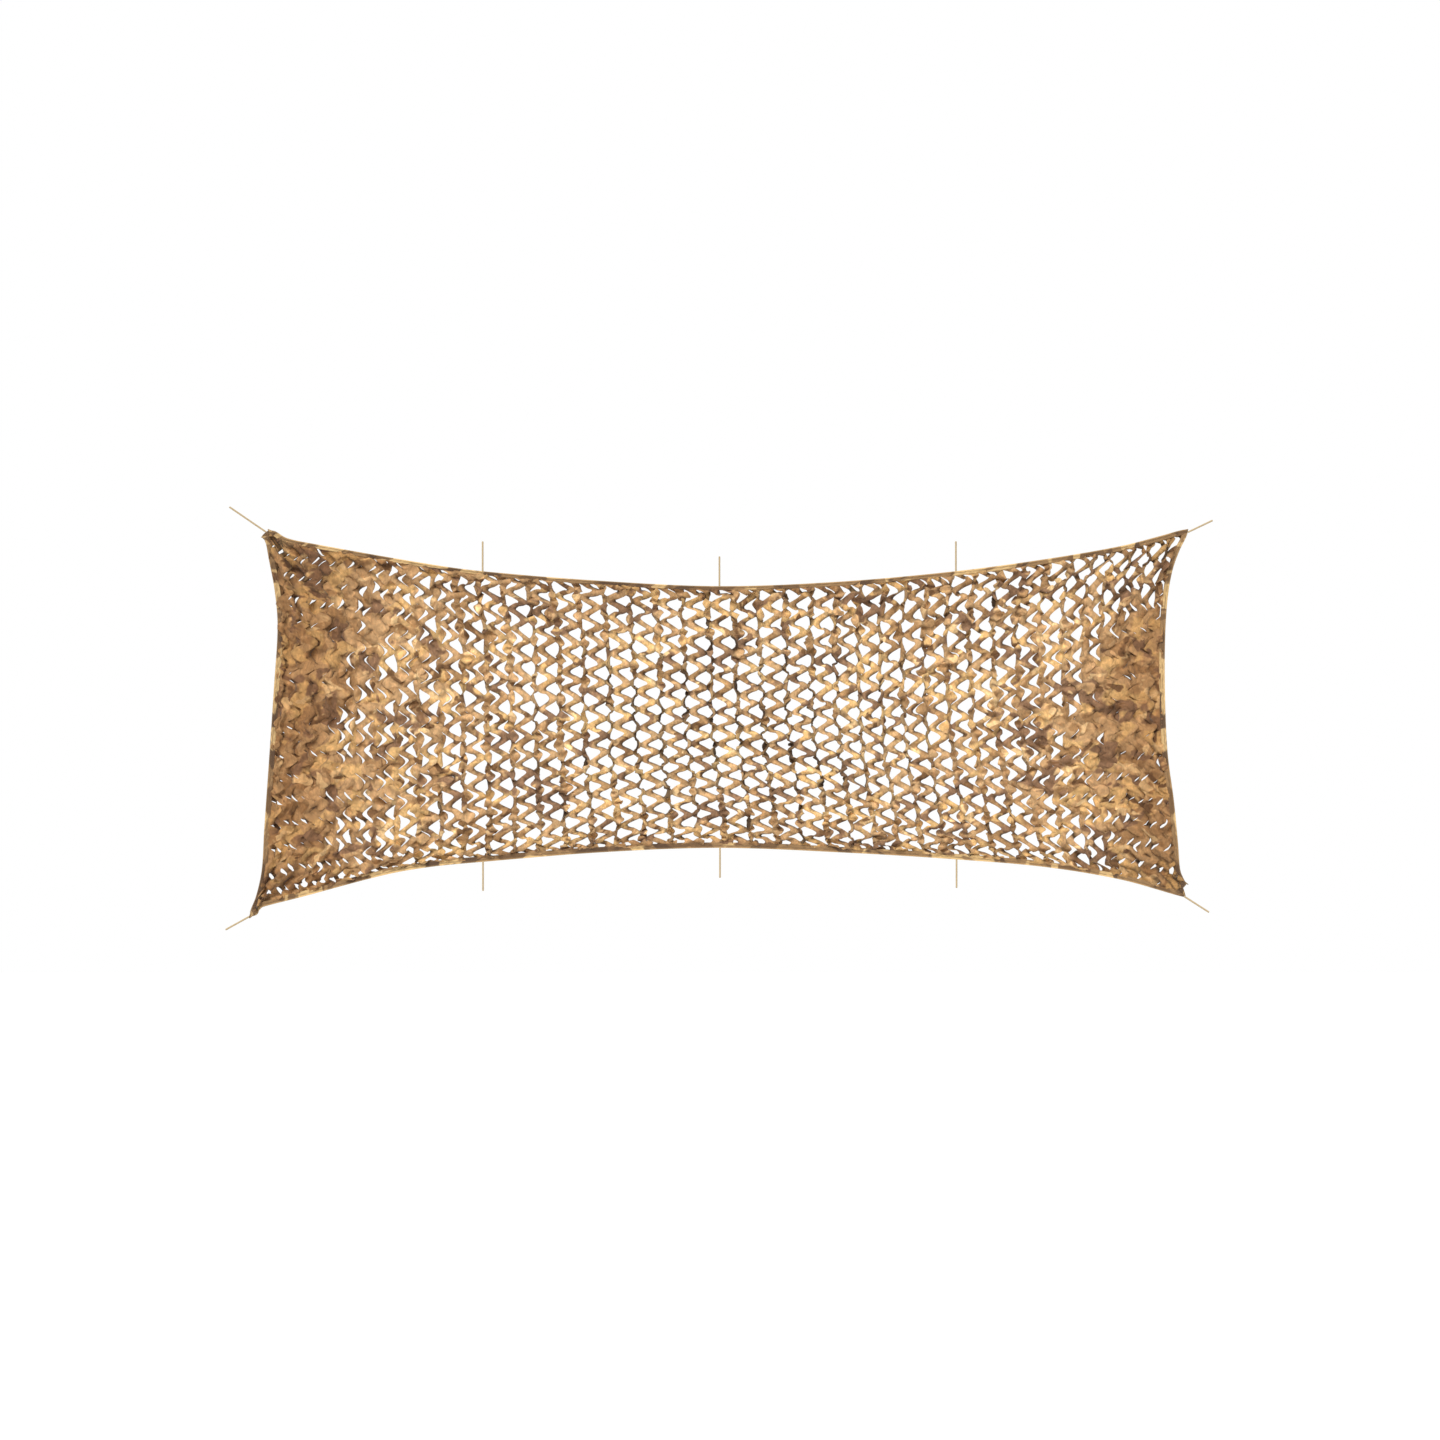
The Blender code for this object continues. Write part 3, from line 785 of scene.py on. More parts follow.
@dataclass
class FlapCurl:
    """How the freed flaps roll up on their threads."""

    widest_radius: float = 0.0066
    tip_radius: float = 0.0040
    full_at: float = 0.88
    most_rolled: float = 1.08
    roll_power: float = 1.5
    root_width: float = 0.008
    shy_until: float = 0.62
    shy_share: float = 0.75
    pleat: float = 0.009
    pleat_width: float = 0.014
    pleat_full_at: float = 0.2
    pleat_fade: tuple[float, float] = (2.6, 3.0)
    longest: float = 0.075
    turns: int = 71
    front_share: float = 0.4
    scatter: float = 0.24
    loose_from: float = 0.30
    odd_share: float = 0.14
    oddness: float = 0.35
    skew_degrees: float = 14.0
    lap: float = 0.18
    lap_until: float = 0.42
    lap_lift: float = 0.004
    lap_rise: float = 4.0
    shut_lap: float = 0.12
    shut_lift: float = 0.003
    flap_reach: float = 0.0565
    seed: int = 11

    def spiral(self, amount: float, out: np.ndarray) -> tuple[np.ndarray, np.ndarray]:
        """Where points of a rolled flap lie.

        Args:
            amount: how far it is rolled, from 0, flat, to 1.
            out: how far each point lies out from the root.

        Returns:
            How far out and how far up from the cloth each point comes to lie.
        """
        run = np.linspace(0.0, self.longest, self.turns)
        radius = np.interp(run, (0.0, self.longest), (self.widest_radius, self.tip_radius))
        angle = np.concatenate([[0.0], np.cumsum(np.diff(run) * amount / radius[1:])])
        step = np.diff(run)
        outwards = np.concatenate([[0.0], np.cumsum(step * np.cos(angle[1:]))])
        upwards = np.concatenate([[0.0], np.cumsum(step * np.sin(angle[1:]))])
        return np.interp(out, run, outwards), np.interp(out, run, upwards)

    def loosen(self, opened: float, facing: Facing, draw: random.Random) -> float:
        """Sets one flap a little off the openness round it.

        Args:
            opened: how far the mouths round it stand open.
            facing: which way the mouth faces.
            draw: where the chances come from.

        Returns:
            How far this flap stands open.
        """
        if facing is Facing.RIGHT and opened < self.shy_until:
            opened *= self.shy_share
        looseness = min(opened / self.loose_from, 1.0)
        opened += draw.uniform(-self.scatter, self.scatter) * looseness
        odd = draw.choice((-1, 1)) * self.oddness * (draw.random() < self.odd_share)
        return opened + odd * looseness

    def roll(
        self, cloth: CutCloth, opened_at: Callable[[np.ndarray], np.ndarray]
    ) -> tuple[np.ndarray, np.ndarray]:
        """Rolls every flap as far as its part of the net stands open.

        Args:
            cloth: the flat, cut cloth.
            opened_at: tells how far the mouths at flat points stand open.

        Returns:
            The shift of each point, as x, y, z, and how far it is rolled up.
        """
        draw = random.Random(self.seed)
        points = cloth.points
        shift, rolled = np.zeros((len(points), 3)), np.zeros(len(points))
        for mouth in cloth.mouths:
            sign = mouth.facing.value
            flap = cloth.flap(mouth)
            out = np.maximum(cloth.out_from_root(flap, mouth), 0.0)
            middle = points[mouth.line].mean(axis=0)
            up = points[flap, 1] - middle[1]
            around = float(opened_at(middle[None, :])[0])
            opened = self.loosen(around, mouth.facing, draw)
            opened = 0.0 if mouth.shut else opened
            amount = min(max(opened, 0.0) / self.full_at, self.most_rolled) ** self.roll_power
            to_front = -1 if draw.random() < self.front_share else 1
            skew = math.radians(draw.uniform(-self.skew_degrees, self.skew_degrees))
            across = out * math.cos(skew) + up * math.sin(skew)
            across = np.maximum(across, 0.0) * (out > 0)
            outwards, upwards = self.spiral(amount, across)
            shift[flap, 0] = (outwards - across) * math.cos(skew) * sign
            shift[flap, 2] = (outwards - across) * math.sin(skew)
            shift[flap, 1] = upwards * to_front
            raised = min(max(opened / self.pleat_full_at, 0.0), 1.0)
            level, slope = self.pleat_fade
            pleat = self.pleat * raised * min(max(level - slope * opened, 0.0), 1.0)
            shift[flap, 0] -= pleat * np.clip(across / self.pleat_width, 0.0, 1.0) * sign
            self.lap_over(shift, flap, across, up, mouth, opened)
            rolled[flap] = min(amount, 1.0) * np.clip(across / self.root_width, 0.0, 1.0)
        return shift, rolled

    def lap_over(
        self,
        shift: np.ndarray,
        flap: np.ndarray,
        out: np.ndarray,
        up: np.ndarray,
        mouth: Mouth,
        opened: float,
    ) -> None:
        """Lets a closed flap lie over the far side of its mouth.

        Args:
            shift: the shift of each of the cloth's points, which is changed.
            flap: the point numbers of the flap.
            out: how far each of them lies out from the root.
            up: how far each lies up from the mouth's middle.
            mouth: the flap's mouth.
            opened: how far the flap stands open.
        """
        sign = mouth.facing.value
        lap = self.lap * max(1 - opened / self.lap_until, 0.0)
        share = out / self.flap_reach
        shift[flap, 0] += lap * out * sign
        shift[flap, 2] += lap * up * share
        shift[flap, 1] -= min(lap / self.lap * self.lap_rise, 1.0) * self.lap_lift * share
        if mouth.shut:
            shift[flap, 0] += self.shut_lap * out * sign
            shift[flap, 2] += self.shut_lap * up * share
            shift[flap, 1] -= self.shut_lift * np.sin(share * math.pi / 2)


@dataclass
class Relaxation:
    """Lets the cut cloth settle between its held edges, keeping its lengths."""

    rounds: int = 400
    quick_rounds: int = 120
    keep_speed: float = 0.92
    step: float = 1.4
    bend_weight: float = 0.15
    free_depth: float = 0.026
    ruffle: float = 0.0008
    seed: int = 17

    @staticmethod
    def pairs(faces: np.ndarray, count: int) -> tuple[np.ndarray, np.ndarray]:
        """Finds the cloth's edges, and the points that face each other across one.

        Args:
            faces: the cloth's triangles.
            count: how many points it has.

        Returns:
            Two arrays of point numbers in pairs: the edges, and the facing points.
        """
        sides = np.vstack([faces[:, [0, 1]], faces[:, [1, 2]], faces[:, [2, 0]]])
        opposite = np.concatenate([faces[:, 2], faces[:, 0], faces[:, 1]])
        sides = np.sort(sides, axis=1)
        key = sides[:, 0].astype(np.int64) * count + sides[:, 1]
        order = np.argsort(key, kind="stable")
        key, sides, opposite = key[order], sides[order], opposite[order]
        first = np.concatenate([[True], key[1:] != key[:-1]])
        shared = np.flatnonzero(~first)
        return sides[first], np.stack([opposite[shared - 1], opposite[shared]], axis=1)

    def settle(
        self,
        start: np.ndarray,
        surface: np.ndarray,
        rest: np.ndarray,
        faces: np.ndarray,
        held: np.ndarray,
        depths: tuple[float, float],
    ) -> np.ndarray:
        """Moves the free points until the cloth has its own lengths again.

        Args:
            start: where each point starts.
            surface: the point of the strung surface that each point stays near.
            rest: the cloth at rest, with its flaps rolled, which gives every length.
            faces: the cloth's triangles.
            held: which points stay where they are.
            depths: the least and the greatest y.

        Returns:
            Where each point comes to lie.
        """
        count = len(start)
        edges, bends = self.pairs(faces, count)
        pair = np.vstack([edges, bends])
        length = np.linalg.norm(rest[pair[:, 0]] - rest[pair[:, 1]], axis=1)
        weight = np.repeat((1.0, self.bend_weight), (len(edges), len(bends)))
        free = (~held).astype(float)
        share = free[pair[:, 0]] + free[pair[:, 1]]
        kept = share > 0
        a, b, length, weight, share = (
            values[kept] for values in (pair[:, 0], pair[:, 1], length, weight, share)
        )
        share_a, share_b = free[a] / share, free[b] / share
        load = np.bincount(a, weight, count) + np.bincount(b, weight, count)
        gain = (self.step / np.maximum(load, 1e-6) * free)[:, None]
        draw = np.random.default_rng(self.seed)
        here = start.copy()
        here[:, 1] += draw.normal(0.0, self.ruffle, count) * free
        last = here.copy()
        for _ in range(self.rounds):
            moved = here + (here - last) * self.keep_speed * free[:, None]
            last = here
            gap = moved[b] - moved[a]
            now = np.sqrt((gap * gap).sum(axis=1)) + 1e-12
            gap *= ((now - length) / now * weight)[:, None]
            pull = np.empty_like(moved)
            for axis in range(3):
                pull[:, axis] = np.bincount(a, gap[:, axis] * share_a, count)
                pull[:, axis] -= np.bincount(b, gap[:, axis] * share_b, count)
            here = moved + pull * gain
            depth = np.clip(here[:, 1] - surface[:, 1], -self.free_depth, self.free_depth)
            here[:, 1] = np.clip(surface[:, 1] + depth, *depths)
        return here


@dataclass(frozen=True)
class Blotch:
    """One colour of the camouflage print, and where it lies."""

    colour: tuple[float, float, float]
    scale: float
    above: float
    offset: tuple[float, float]
    stretch: float = 1.0
    softness: float = 0.02


def srgb(red: int, green: int, blue: int) -> tuple[float, float, float]:
    """A linear colour from its screen values, each from 0 to 255.

    Args:
        red: the red value.
        green: the green value.
        blue: the blue value.

    Returns:
        The linear red, green and blue.
    """

    def linear(value: int) -> float:
        """One value in linear light."""
        share = value / 255
        return share / 12.92 if share <= 0.04045 else ((share + 0.055) / 1.055) ** 2.4

    return linear(red), linear(green), linear(blue)


class TreeDesk:
    """A node tree, with short ways to add and join its nodes."""

    def __init__(self, tree: bpy.types.NodeTree) -> None:
        """Takes up a tree.

        Args:
            tree: the tree that the nodes go into.
        """
        self.tree = tree

    def add(
        self, kind: str, inputs: dict[str | int, object] | None = None, **settings: object
    ) -> bpy.types.Node:
        """Adds a node.

        Args:
            kind: Blender's name for the kind of node.
            inputs: values or other nodes' outputs, by the input's name or number.
            settings: the node's own settings.

        Returns:
            The node.
        """
        node = self.tree.nodes.new(kind)
        for name, value in settings.items():
            setattr(node, name, value)
        for socket, value in (inputs or {}).items():
            if isinstance(value, bpy.types.NodeSocket):
                self.tree.links.new(value, node.inputs[socket])
            else:
                node.inputs[socket].default_value = value
        return node

    def math(self, operation: str, *values: object, clamp: bool = False) -> bpy.types.NodeSocket:
        """Works out one number.

        Args:
            operation: Blender's name for the sum.
            values: the numbers or outputs that go into it.
            clamp: whether the result is kept between 0 and 1.

        Returns:
            The result's output.
        """
        inputs = dict(enumerate(values))
        return self.add("ShaderNodeMath", inputs, operation=operation, use_clamp=clamp).outputs[0]


class NodeDesk(TreeDesk):
    """A material's node tree, with the patterns that the finishes share."""

    def __init__(self, name: str) -> None:
        """Starts a material with an empty tree.

        Args:
            name: the material's name.
        """
        self.material = bpy.data.materials.new(name)
        self.material.use_nodes = True
        super().__init__(self.material.node_tree)
        self.tree.nodes.clear()

    def noise(
        self, vector: bpy.types.NodeSocket, scale: float, detail: float, distortion: float = 0.0
    ) -> bpy.types.NodeSocket:
        """A cloudy pattern from 0 to 1.

        Args:
            vector: where the pattern is read.
            scale: how fine it is.
            detail: how many finer patterns lie in it.
            distortion: how far it is pulled about.

        Returns:
            The pattern's output.
        """
        inputs = {"Vector": vector, "Scale": scale, "Detail": detail}
        inputs |= {"Roughness": 0.5, "Distortion": distortion}
        return self.add("ShaderNodeTexNoise", inputs).outputs["Fac"]

    def mapped(
        self,
        vector: bpy.types.NodeSocket,
        location: Sequence[float],
        scale: Sequence[float],
        turn: float = 0.0,
    ) -> bpy.types.NodeSocket:
        """A vector moved, turned and scaled.

        Args:
            vector: the vector's output.
            location: how far it is moved.
            scale: how much it is scaled along each axis.
            turn: how far it is turned round the third axis.

        Returns:
            The new vector's output.
        """
        inputs = {"Vector": vector, "Location": location}
        inputs |= {"Rotation": (0.0, 0.0, turn), "Scale": scale}
        return self.add("ShaderNodeMapping", inputs).outputs[0]

    def mix(
        self, factor: object, first: object, second: object, blend: str = "MIX"
    ) -> bpy.types.NodeSocket:
        """Mixes two colours.

        Args:
            factor: the share of the second.
            first: the first colour.
            second: the second colour.
            blend: Blender's name for the way they mix.

        Returns:
            The mixed colour's output.
        """
        inputs = {0: factor, 6: first, 7: second}
        node = self.add("ShaderNodeMix", inputs, data_type="RGBA", blend_type=blend)
        return node.outputs[2]

    def step(
        self, value: bpy.types.NodeSocket, low: float, high: float
    ) -> bpy.types.NodeSocket:
        """A smooth step from 0 to 1.

        Args:
            value: the value that the step follows.
            low: the value at which it leaves 0.
            high: the value at which it reaches 1.

        Returns:
            The step's output.
        """
        inputs = {"Value": value, "From Min": low, "From Max": high}
        node = self.add("ShaderNodeMapRange", inputs, interpolation_type="SMOOTHSTEP")
        return node.outputs[0]

    def share(self, name: str) -> bpy.types.NodeSocket:
        """A number that the mesh holds for each point."""
        return self.add("ShaderNodeAttribute", attribute_name=name).outputs["Fac"]

    def camouflage(
        self,
        vector: bpy.types.NodeSocket,
        ground: tuple[float, float, float],
        blotches: Iterable[Blotch],
    ) -> bpy.types.NodeSocket:
        """A camouflage print: a ground colour with blotches laid over it in turn.

        Args:
            vector: where the print is read.
            ground: the ground colour.
            blotches: the colours over it.

        Returns:
            The print's colour.
        """
        colour: object = (*ground, 1.0)
        for blotch in blotches:
            scale = (1.0, blotch.stretch, 1.0)
            where = self.mapped(vector, (*blotch.offset, 0.0), scale)
            cloudy = self.noise(where, blotch.scale, 2.6, 0.7)
            mask = self.step(cloudy, blotch.above, blotch.above + blotch.softness)
            colour = self.mix(mask, colour, (*blotch.colour, 1.0))
        return colour

    def bump(
        self,
        height: bpy.types.NodeSocket,
        distance: float,
        strength: float,
        under: bpy.types.NodeSocket | None = None,
    ) -> bpy.types.NodeSocket:
        """A normal raised by a height.

        Args:
            height: the height's output.
            distance: how far a height of 1 rises.
            strength: how much of it shows.
            under: the normal that it lies on.

        Returns:
            The normal's output.
        """
        inputs = {"Height": height, "Distance": distance, "Strength": strength}
        if under is not None:
            inputs["Normal"] = under
        return self.add("ShaderNodeBump", inputs).outputs[0]

    def weave(self, vector: bpy.types.NodeSocket, pitch: float) -> bpy.types.NodeSocket:
        """The height of a plain weave.

        Args:
            vector: where the weave is read.
            pitch: how far apart its yarns lie.

        Returns:
            The height's output.
        """
        inputs = {"Vector": vector, "Scale": 1 / (pitch * 2 * math.pi) * math.pi / 10}
        waves = [
            self.add("ShaderNodeTexWave", inputs, bands_direction=direction).outputs["Fac"]
            for direction in ("X", "Y")
        ]
        return self.math("MAXIMUM", *waves)

    def surface(self, inputs: dict[str | int, object]) -> bpy.types.NodeSocket:
        """A plain surface with the given inputs."""
        return self.add("ShaderNodeBsdfPrincipled", inputs).outputs[0]

    def finish(self, shader: bpy.types.NodeSocket) -> bpy.types.Material:
        """Joins the shader to the output.

        Args:
            shader: the shader's output.

        Returns:
            The material.
        """
        self.add("ShaderNodeOutputMaterial", {"Surface": shader})
        return self.material


@dataclass(frozen=True)
class NetCloth:
    """Thin printed cloth that lets some light through."""

    name: str = "net_cloth"
    ground: tuple[float, float, float] = srgb(200, 165, 120)
    see_through: float = 0.38
    roughness: float = 0.78
    blotches: tuple[Blotch, ...] = (
        Blotch(srgb(176, 139, 95), 5.6, 0.50, (3.1, 7.7), 1.25, 0.05),
        Blotch(srgb(218, 183, 126), 5.0, 0.53, (11.3, 2.9), 1.3, 0.05),
        Blotch(srgb(148, 115, 86), 5.4, 0.555, (5.9, 13.1), 1.2, 0.05),
        Blotch(srgb(232, 202, 152), 8.0, 0.61, (17.2, 4.6), 1.2, 0.05),
        Blotch(srgb(130, 96, 62), 8.5, 0.61, (8.4, 19.5), 1.1, 0.05),
    )
    weave_pitch: float = 0.0022
    wrinkle_scale: float = 48.0
    # the colour by which painted shade darkens the gathered, thick parts of the cloth
    slack_shade: tuple[float, float, float] = (0.59, 0.49, 0.40)
    # painted shade of the creases: its colour, its strength and how steeply it rises
    crease_shade_colour: tuple[float, float, float] = srgb(60, 43, 28)
    crease_shade_strength: float = 0.93
    crease_shade_power: float = 1.8

    def make(self) -> bpy.types.Material:
        """Builds the finish.

        Returns:
            The material.
        """
        desk = NodeDesk(self.name)
        flat = desk.add("ShaderNodeUVMap", uv_map="cut").outputs[0]
        colour = desk.camouflage(flat, self.ground, self.blotches)
        cloudy = desk.noise(flat, 22.0, 5.0, 0.6)
        slanted = desk.mapped(flat, (0, 0, 0), (1.0, 0.6, 1.0), 0.5)
        wrinkle = desk.noise(slanted, self.wrinkle_scale, 3.0, 1.2)
        # Painted light and shade: a cloudy tone times the wrinkle noise makes the print lighter
        # and darker in small folds, as light would fall on them, with some random tone; the same
        # wrinkles also bump the surface.
        painted_light_and_tone = desk.math("MULTIPLY", cloudy, wrinkle)
        shade = desk.math("MULTIPLY_ADD", painted_light_and_tone, 2.4, 0.51)
        grey = desk.add("ShaderNodeCombineColor", {0: shade, 1: shade, 2: shade})
        colour = desk.mix(1.0, colour, grey.outputs[0], "MULTIPLY")
        # Painted shade: the gathered, thick parts, where the cloth would shade itself and let less
        # light through, are darkened.
        colour = desk.mix(desk.share("slack"), colour, (*self.slack_shade, 1.0), "MULTIPLY")
        # Painted shade: rolled flaps, thread necks, hollows, slit edges and corner grooves are
        # darkened towards a deep brown.
        darkness = desk.math("POWER", desk.share("crease_shade"), self.crease_shade_power)
        darkness = desk.math("MULTIPLY", darkness, self.crease_shade_strength)
        colour = desk.mix(darkness, colour, (*self.crease_shade_colour, 1.0))
        weave = desk.bump(desk.weave(flat, self.weave_pitch), 0.0004, 0.35)
        wrinkled = desk.bump(wrinkle, 0.008, 0.8, weave)
        front = desk.surface(
            {
                "Base Color": colour,
                "Roughness": self.roughness,
                "Specular IOR Level": 0.25,
                "Sheen Weight": 0.12,
                "Sheen Roughness": 0.5,
                "Normal": wrinkled,
            }
        )
        through = desk.add("ShaderNodeBsdfTranslucent", {"Color": colour, "Normal": wrinkled})
        both = {0: self.see_through, 1: front, 2: through.outputs[0]}
        return desk.finish(desk.add("ShaderNodeMixShader", both).outputs[0])


@dataclass(frozen=True)
class BindingTape:
    """Printed tape, denser and darker than the cloth, its blotches drawn along it."""

    name: str = "binding_tape"
    ground: tuple[float, float, float] = srgb(134, 104, 68)
    # the painted highlight along the tape's rounded fold: its colour and its share
    painted_light_and_tone: tuple[float, float, float] = srgb(214, 180, 124)
    fold_highlight_share: float = 0.26
    # the colour of the painted shade in the tape's grooves and at its gathered ends
    shade_dark: tuple[float, float, float] = srgb(66, 46, 30)
    roughness: float = 0.8
    blotches: tuple[Blotch, ...] = (
        Blotch(srgb(100, 74, 46), 5.0, 0.50, (2.2, 4.1), 1.2, 0.03),
        Blotch(srgb(190, 158, 108), 4.6, 0.535, (9.4, 1.7), 1.2, 0.03),
        Blotch(srgb(74, 54, 36), 5.2, 0.55, (6.6, 12.2), 1.2, 0.03),
    )
    weave_pitch: float = 0.0018

    def make(self) -> bpy.types.Material:
        """Builds the finish.

        Returns:
            The material.
        """
        desk = NodeDesk(self.name)
        flat = desk.add("ShaderNodeUVMap", uv_map="tape").outputs[0]
        colour = desk.camouflage(flat, self.ground, self.blotches)
        # Painted highlight: the rounded fold of the tape is lightened as though it caught the
        # light.
        light = desk.math("MULTIPLY", desk.share("fold"), self.fold_highlight_share)
        colour = desk.mix(light, colour, (*self.painted_light_and_tone, 1.0))
        # Painted shade: the groove beside the roll, the inner edge and the gathered ends are
        # darkened in streaks.
        streaks = desk.noise(desk.mapped(flat, (0, 0, 0), (0.25, 1.0, 1.0)), 130.0, 2.0, 0.5)
        streaks = desk.step(streaks, 0.20, 0.60)
        dark = desk.math("MULTIPLY", desk.share("tape_shade"), streaks, clamp=True)
        colour = desk.mix(dark, colour, (*self.shade_dark, 1.0))
        normal = desk.bump(desk.weave(flat, self.weave_pitch), 0.0005, 0.5)
        shader = desk.surface(
            {
                "Base Color": colour,
                "Roughness": self.roughness,
                "Specular IOR Level": 0.25,
                "Sheen Weight": 0.1,
                "Normal": normal,
            }
        )
        return desk.finish(shader)


@dataclass(frozen=True)
class TieCordFinish:
    """Natural coloured braided cord."""

    name: str = "tie_cord"
    light: tuple[float, float, float] = srgb(172, 152, 116)
    dark: tuple[float, float, float] = srgb(120, 102, 74)
    roughness: float = 0.85

    def make(self) -> bpy.types.Material:
        """Builds the finish.

        Returns:
            The material.
        """
        desk = NodeDesk(self.name)
        place = desk.add("ShaderNodeTexCoord").outputs["Object"]
        fibres = desk.noise(place, 420.0, 3.0)
        # The fibres vary the cord's tone at random, and painted shade darkens the grooves of the
        # braid.
        mixed = desk.math("MULTIPLY_ADD", fibres, 0.35, desk.share("groove_shade"), clamp=True)
        colour = desk.mix(mixed, (*self.light, 1.0), (*self.dark, 1.0))
        normal = desk.bump(fibres, 0.0006, 0.6)
        inputs = {"Base Color": colour, "Roughness": self.roughness}
        return desk.finish(desk.surface(inputs | {"Sheen Weight": 0.2, "Normal": normal}))


@dataclass(frozen=True)
class StitchThread:
    """Sewing thread, a little lighter than the tape."""

    name: str = "stitch_thread"
    colour: tuple[float, float, float] = srgb(146, 120, 82)
    shadow: tuple[float, float, float] = srgb(92, 72, 48)
    roughness: float = 0.6

    def make(self) -> bpy.types.Material:
        """Builds the finish.

        Returns:
            The material.
        """
        desk = NodeDesk(self.name)
        place = desk.add("ShaderNodeTexCoord").outputs["Object"]
        ply = desk.noise(place, 900.0, 2.0)
        colour = desk.mix(ply, (*self.colour, 1.0), (*self.shadow, 1.0))
        normal = desk.bump(ply, 0.0002, 0.5)
        inputs = {"Base Color": colour, "Roughness": self.roughness, "Normal": normal}
        return desk.finish(desk.surface(inputs))


@dataclass(frozen=True)
class PaleFloor:
    """The plain floor of the studio."""

    name: str = "pale_floor"
    colour: tuple[float, float, float] = (0.86, 0.86, 0.86)
    roughness: float = 0.9

    def make(self) -> bpy.types.Material:
        """Builds the finish.

        Returns:
            The material.
        """
        desk = NodeDesk(self.name)
        inputs = {"Base Color": (*self.colour, 1.0), "Roughness": self.roughness}
        return desk.finish(desk.surface(inputs))


def add_object(name: str, data: bpy.types.ID) -> bpy.types.Object:
    """Adds a named object to the scene.

    Args:
        name: the object's name.
        data: its mesh, camera or lamp.

    Returns:
        The object.
    """
    piece = bpy.data.objects.new(name, data)
    bpy.context.scene.collection.objects.link(piece)
    return piece


def mesh_from(name: str, points: np.ndarray, faces: np.ndarray | list) -> bpy.types.Mesh:
    """A smooth mesh.

    Args:
        name: the mesh's name.
        points: x, y and z of each point.
        faces: the point numbers of each face.

    Returns:
        The mesh.
    """
    mesh = bpy.data.meshes.new(name)
    mesh.from_pydata(np.asarray(points).tolist(), [], [tuple(face) for face in faces])
    mesh.shade_smooth()
    return mesh


def set_uv(mesh: bpy.types.Mesh, name: str, by_point: np.ndarray) -> None:
    """Gives a mesh a UV map.

    Args:
        mesh: the mesh.
        name: the map's name.
        by_point: one pair for each point.
    """
    layer = mesh.uv_layers.new(name=name)
    numbers = np.empty(len(mesh.loops), dtype=np.int32)
    mesh.loops.foreach_get("vertex_index", numbers)
    layer.data.foreach_set("uv", by_point[numbers].astype(np.float32).ravel())


def set_share(mesh: bpy.types.Mesh, name: str, by_point: np.ndarray) -> None:
    """Gives a mesh a number for each point, which a finish reads by its name."""
    layer = mesh.attributes.new(name, "FLOAT", "POINT")
    layer.data.foreach_set("value", by_point.astype(np.float32))


def tube_faces(rings: int, sides: int) -> list[tuple[int, ...]]:
    """The faces of a closed tube whose points lie ring by ring.

    Args:
        rings: how many rings it has.
        sides: how many points each ring has.

    Returns:
        The point numbers of each face, the two ends last.
    """
    faces: list[tuple[int, ...]] = []
    for first in range(0, (rings - 1) * sides, sides):
        for side in range(sides):
            a, b = first + side, first + (side + 1) % sides
            faces.append((a, b, b + sides, a + sides))
    faces.append(tuple(range(sides)))
    faces.append(tuple(range((rings - 1) * sides, rings * sides)))
    return faces


def turn_outwards(mesh: bpy.types.Mesh) -> None:
    """Turns every face of a closed mesh outwards.

    Args:
        mesh: the mesh to turn.
    """
    shape = bmesh.new()
    shape.from_mesh(mesh)
    bmesh.ops.recalc_face_normals(shape, faces=shape.faces)
    shape.to_mesh(mesh)
    shape.free()


@dataclass
class Crumple:
    """The uneven folds in which the slack parts of the cloth stand out."""

    depth: float = 0.013
    waves: int = 26
    lengths: tuple[float, float] = (0.05, 0.20)
    slant: float = 0.55
    bend: float = 0.6
    sway: float = 9.0
    start: float = 6.3
    peak: float = 1.5
    pulled: float = 0.85
    seed: int = 31

    def rise(self, points: np.ndarray, opened: np.ndarray) -> np.ndarray:
        """How far the slack parts stand out in uneven folds.

        Args:
            points: x and z of each flat point.
            opened: how far the mouths round each stand open.

        Returns:
            One rise, as y, for each point.
        """
        draw = np.random.default_rng(self.seed)
        rise = np.zeros(len(points))
        for _ in range(self.waves):
            length = draw.uniform(*self.lengths)
            heading = draw.normal(0.0, self.slant)
            along = points @ (np.cos(heading), np.sin(heading))
            bend = self.bend * np.sin(points @ draw.normal(0.0, self.sway, 2))
            phase = 2 * np.pi * along / length + bend + draw.uniform(0, self.start)
            rise += length * np.sin(phase)
        rise *= self.depth / np.abs(rise).std() / self.peak
        return rise * (1 - self.pulled * opened)


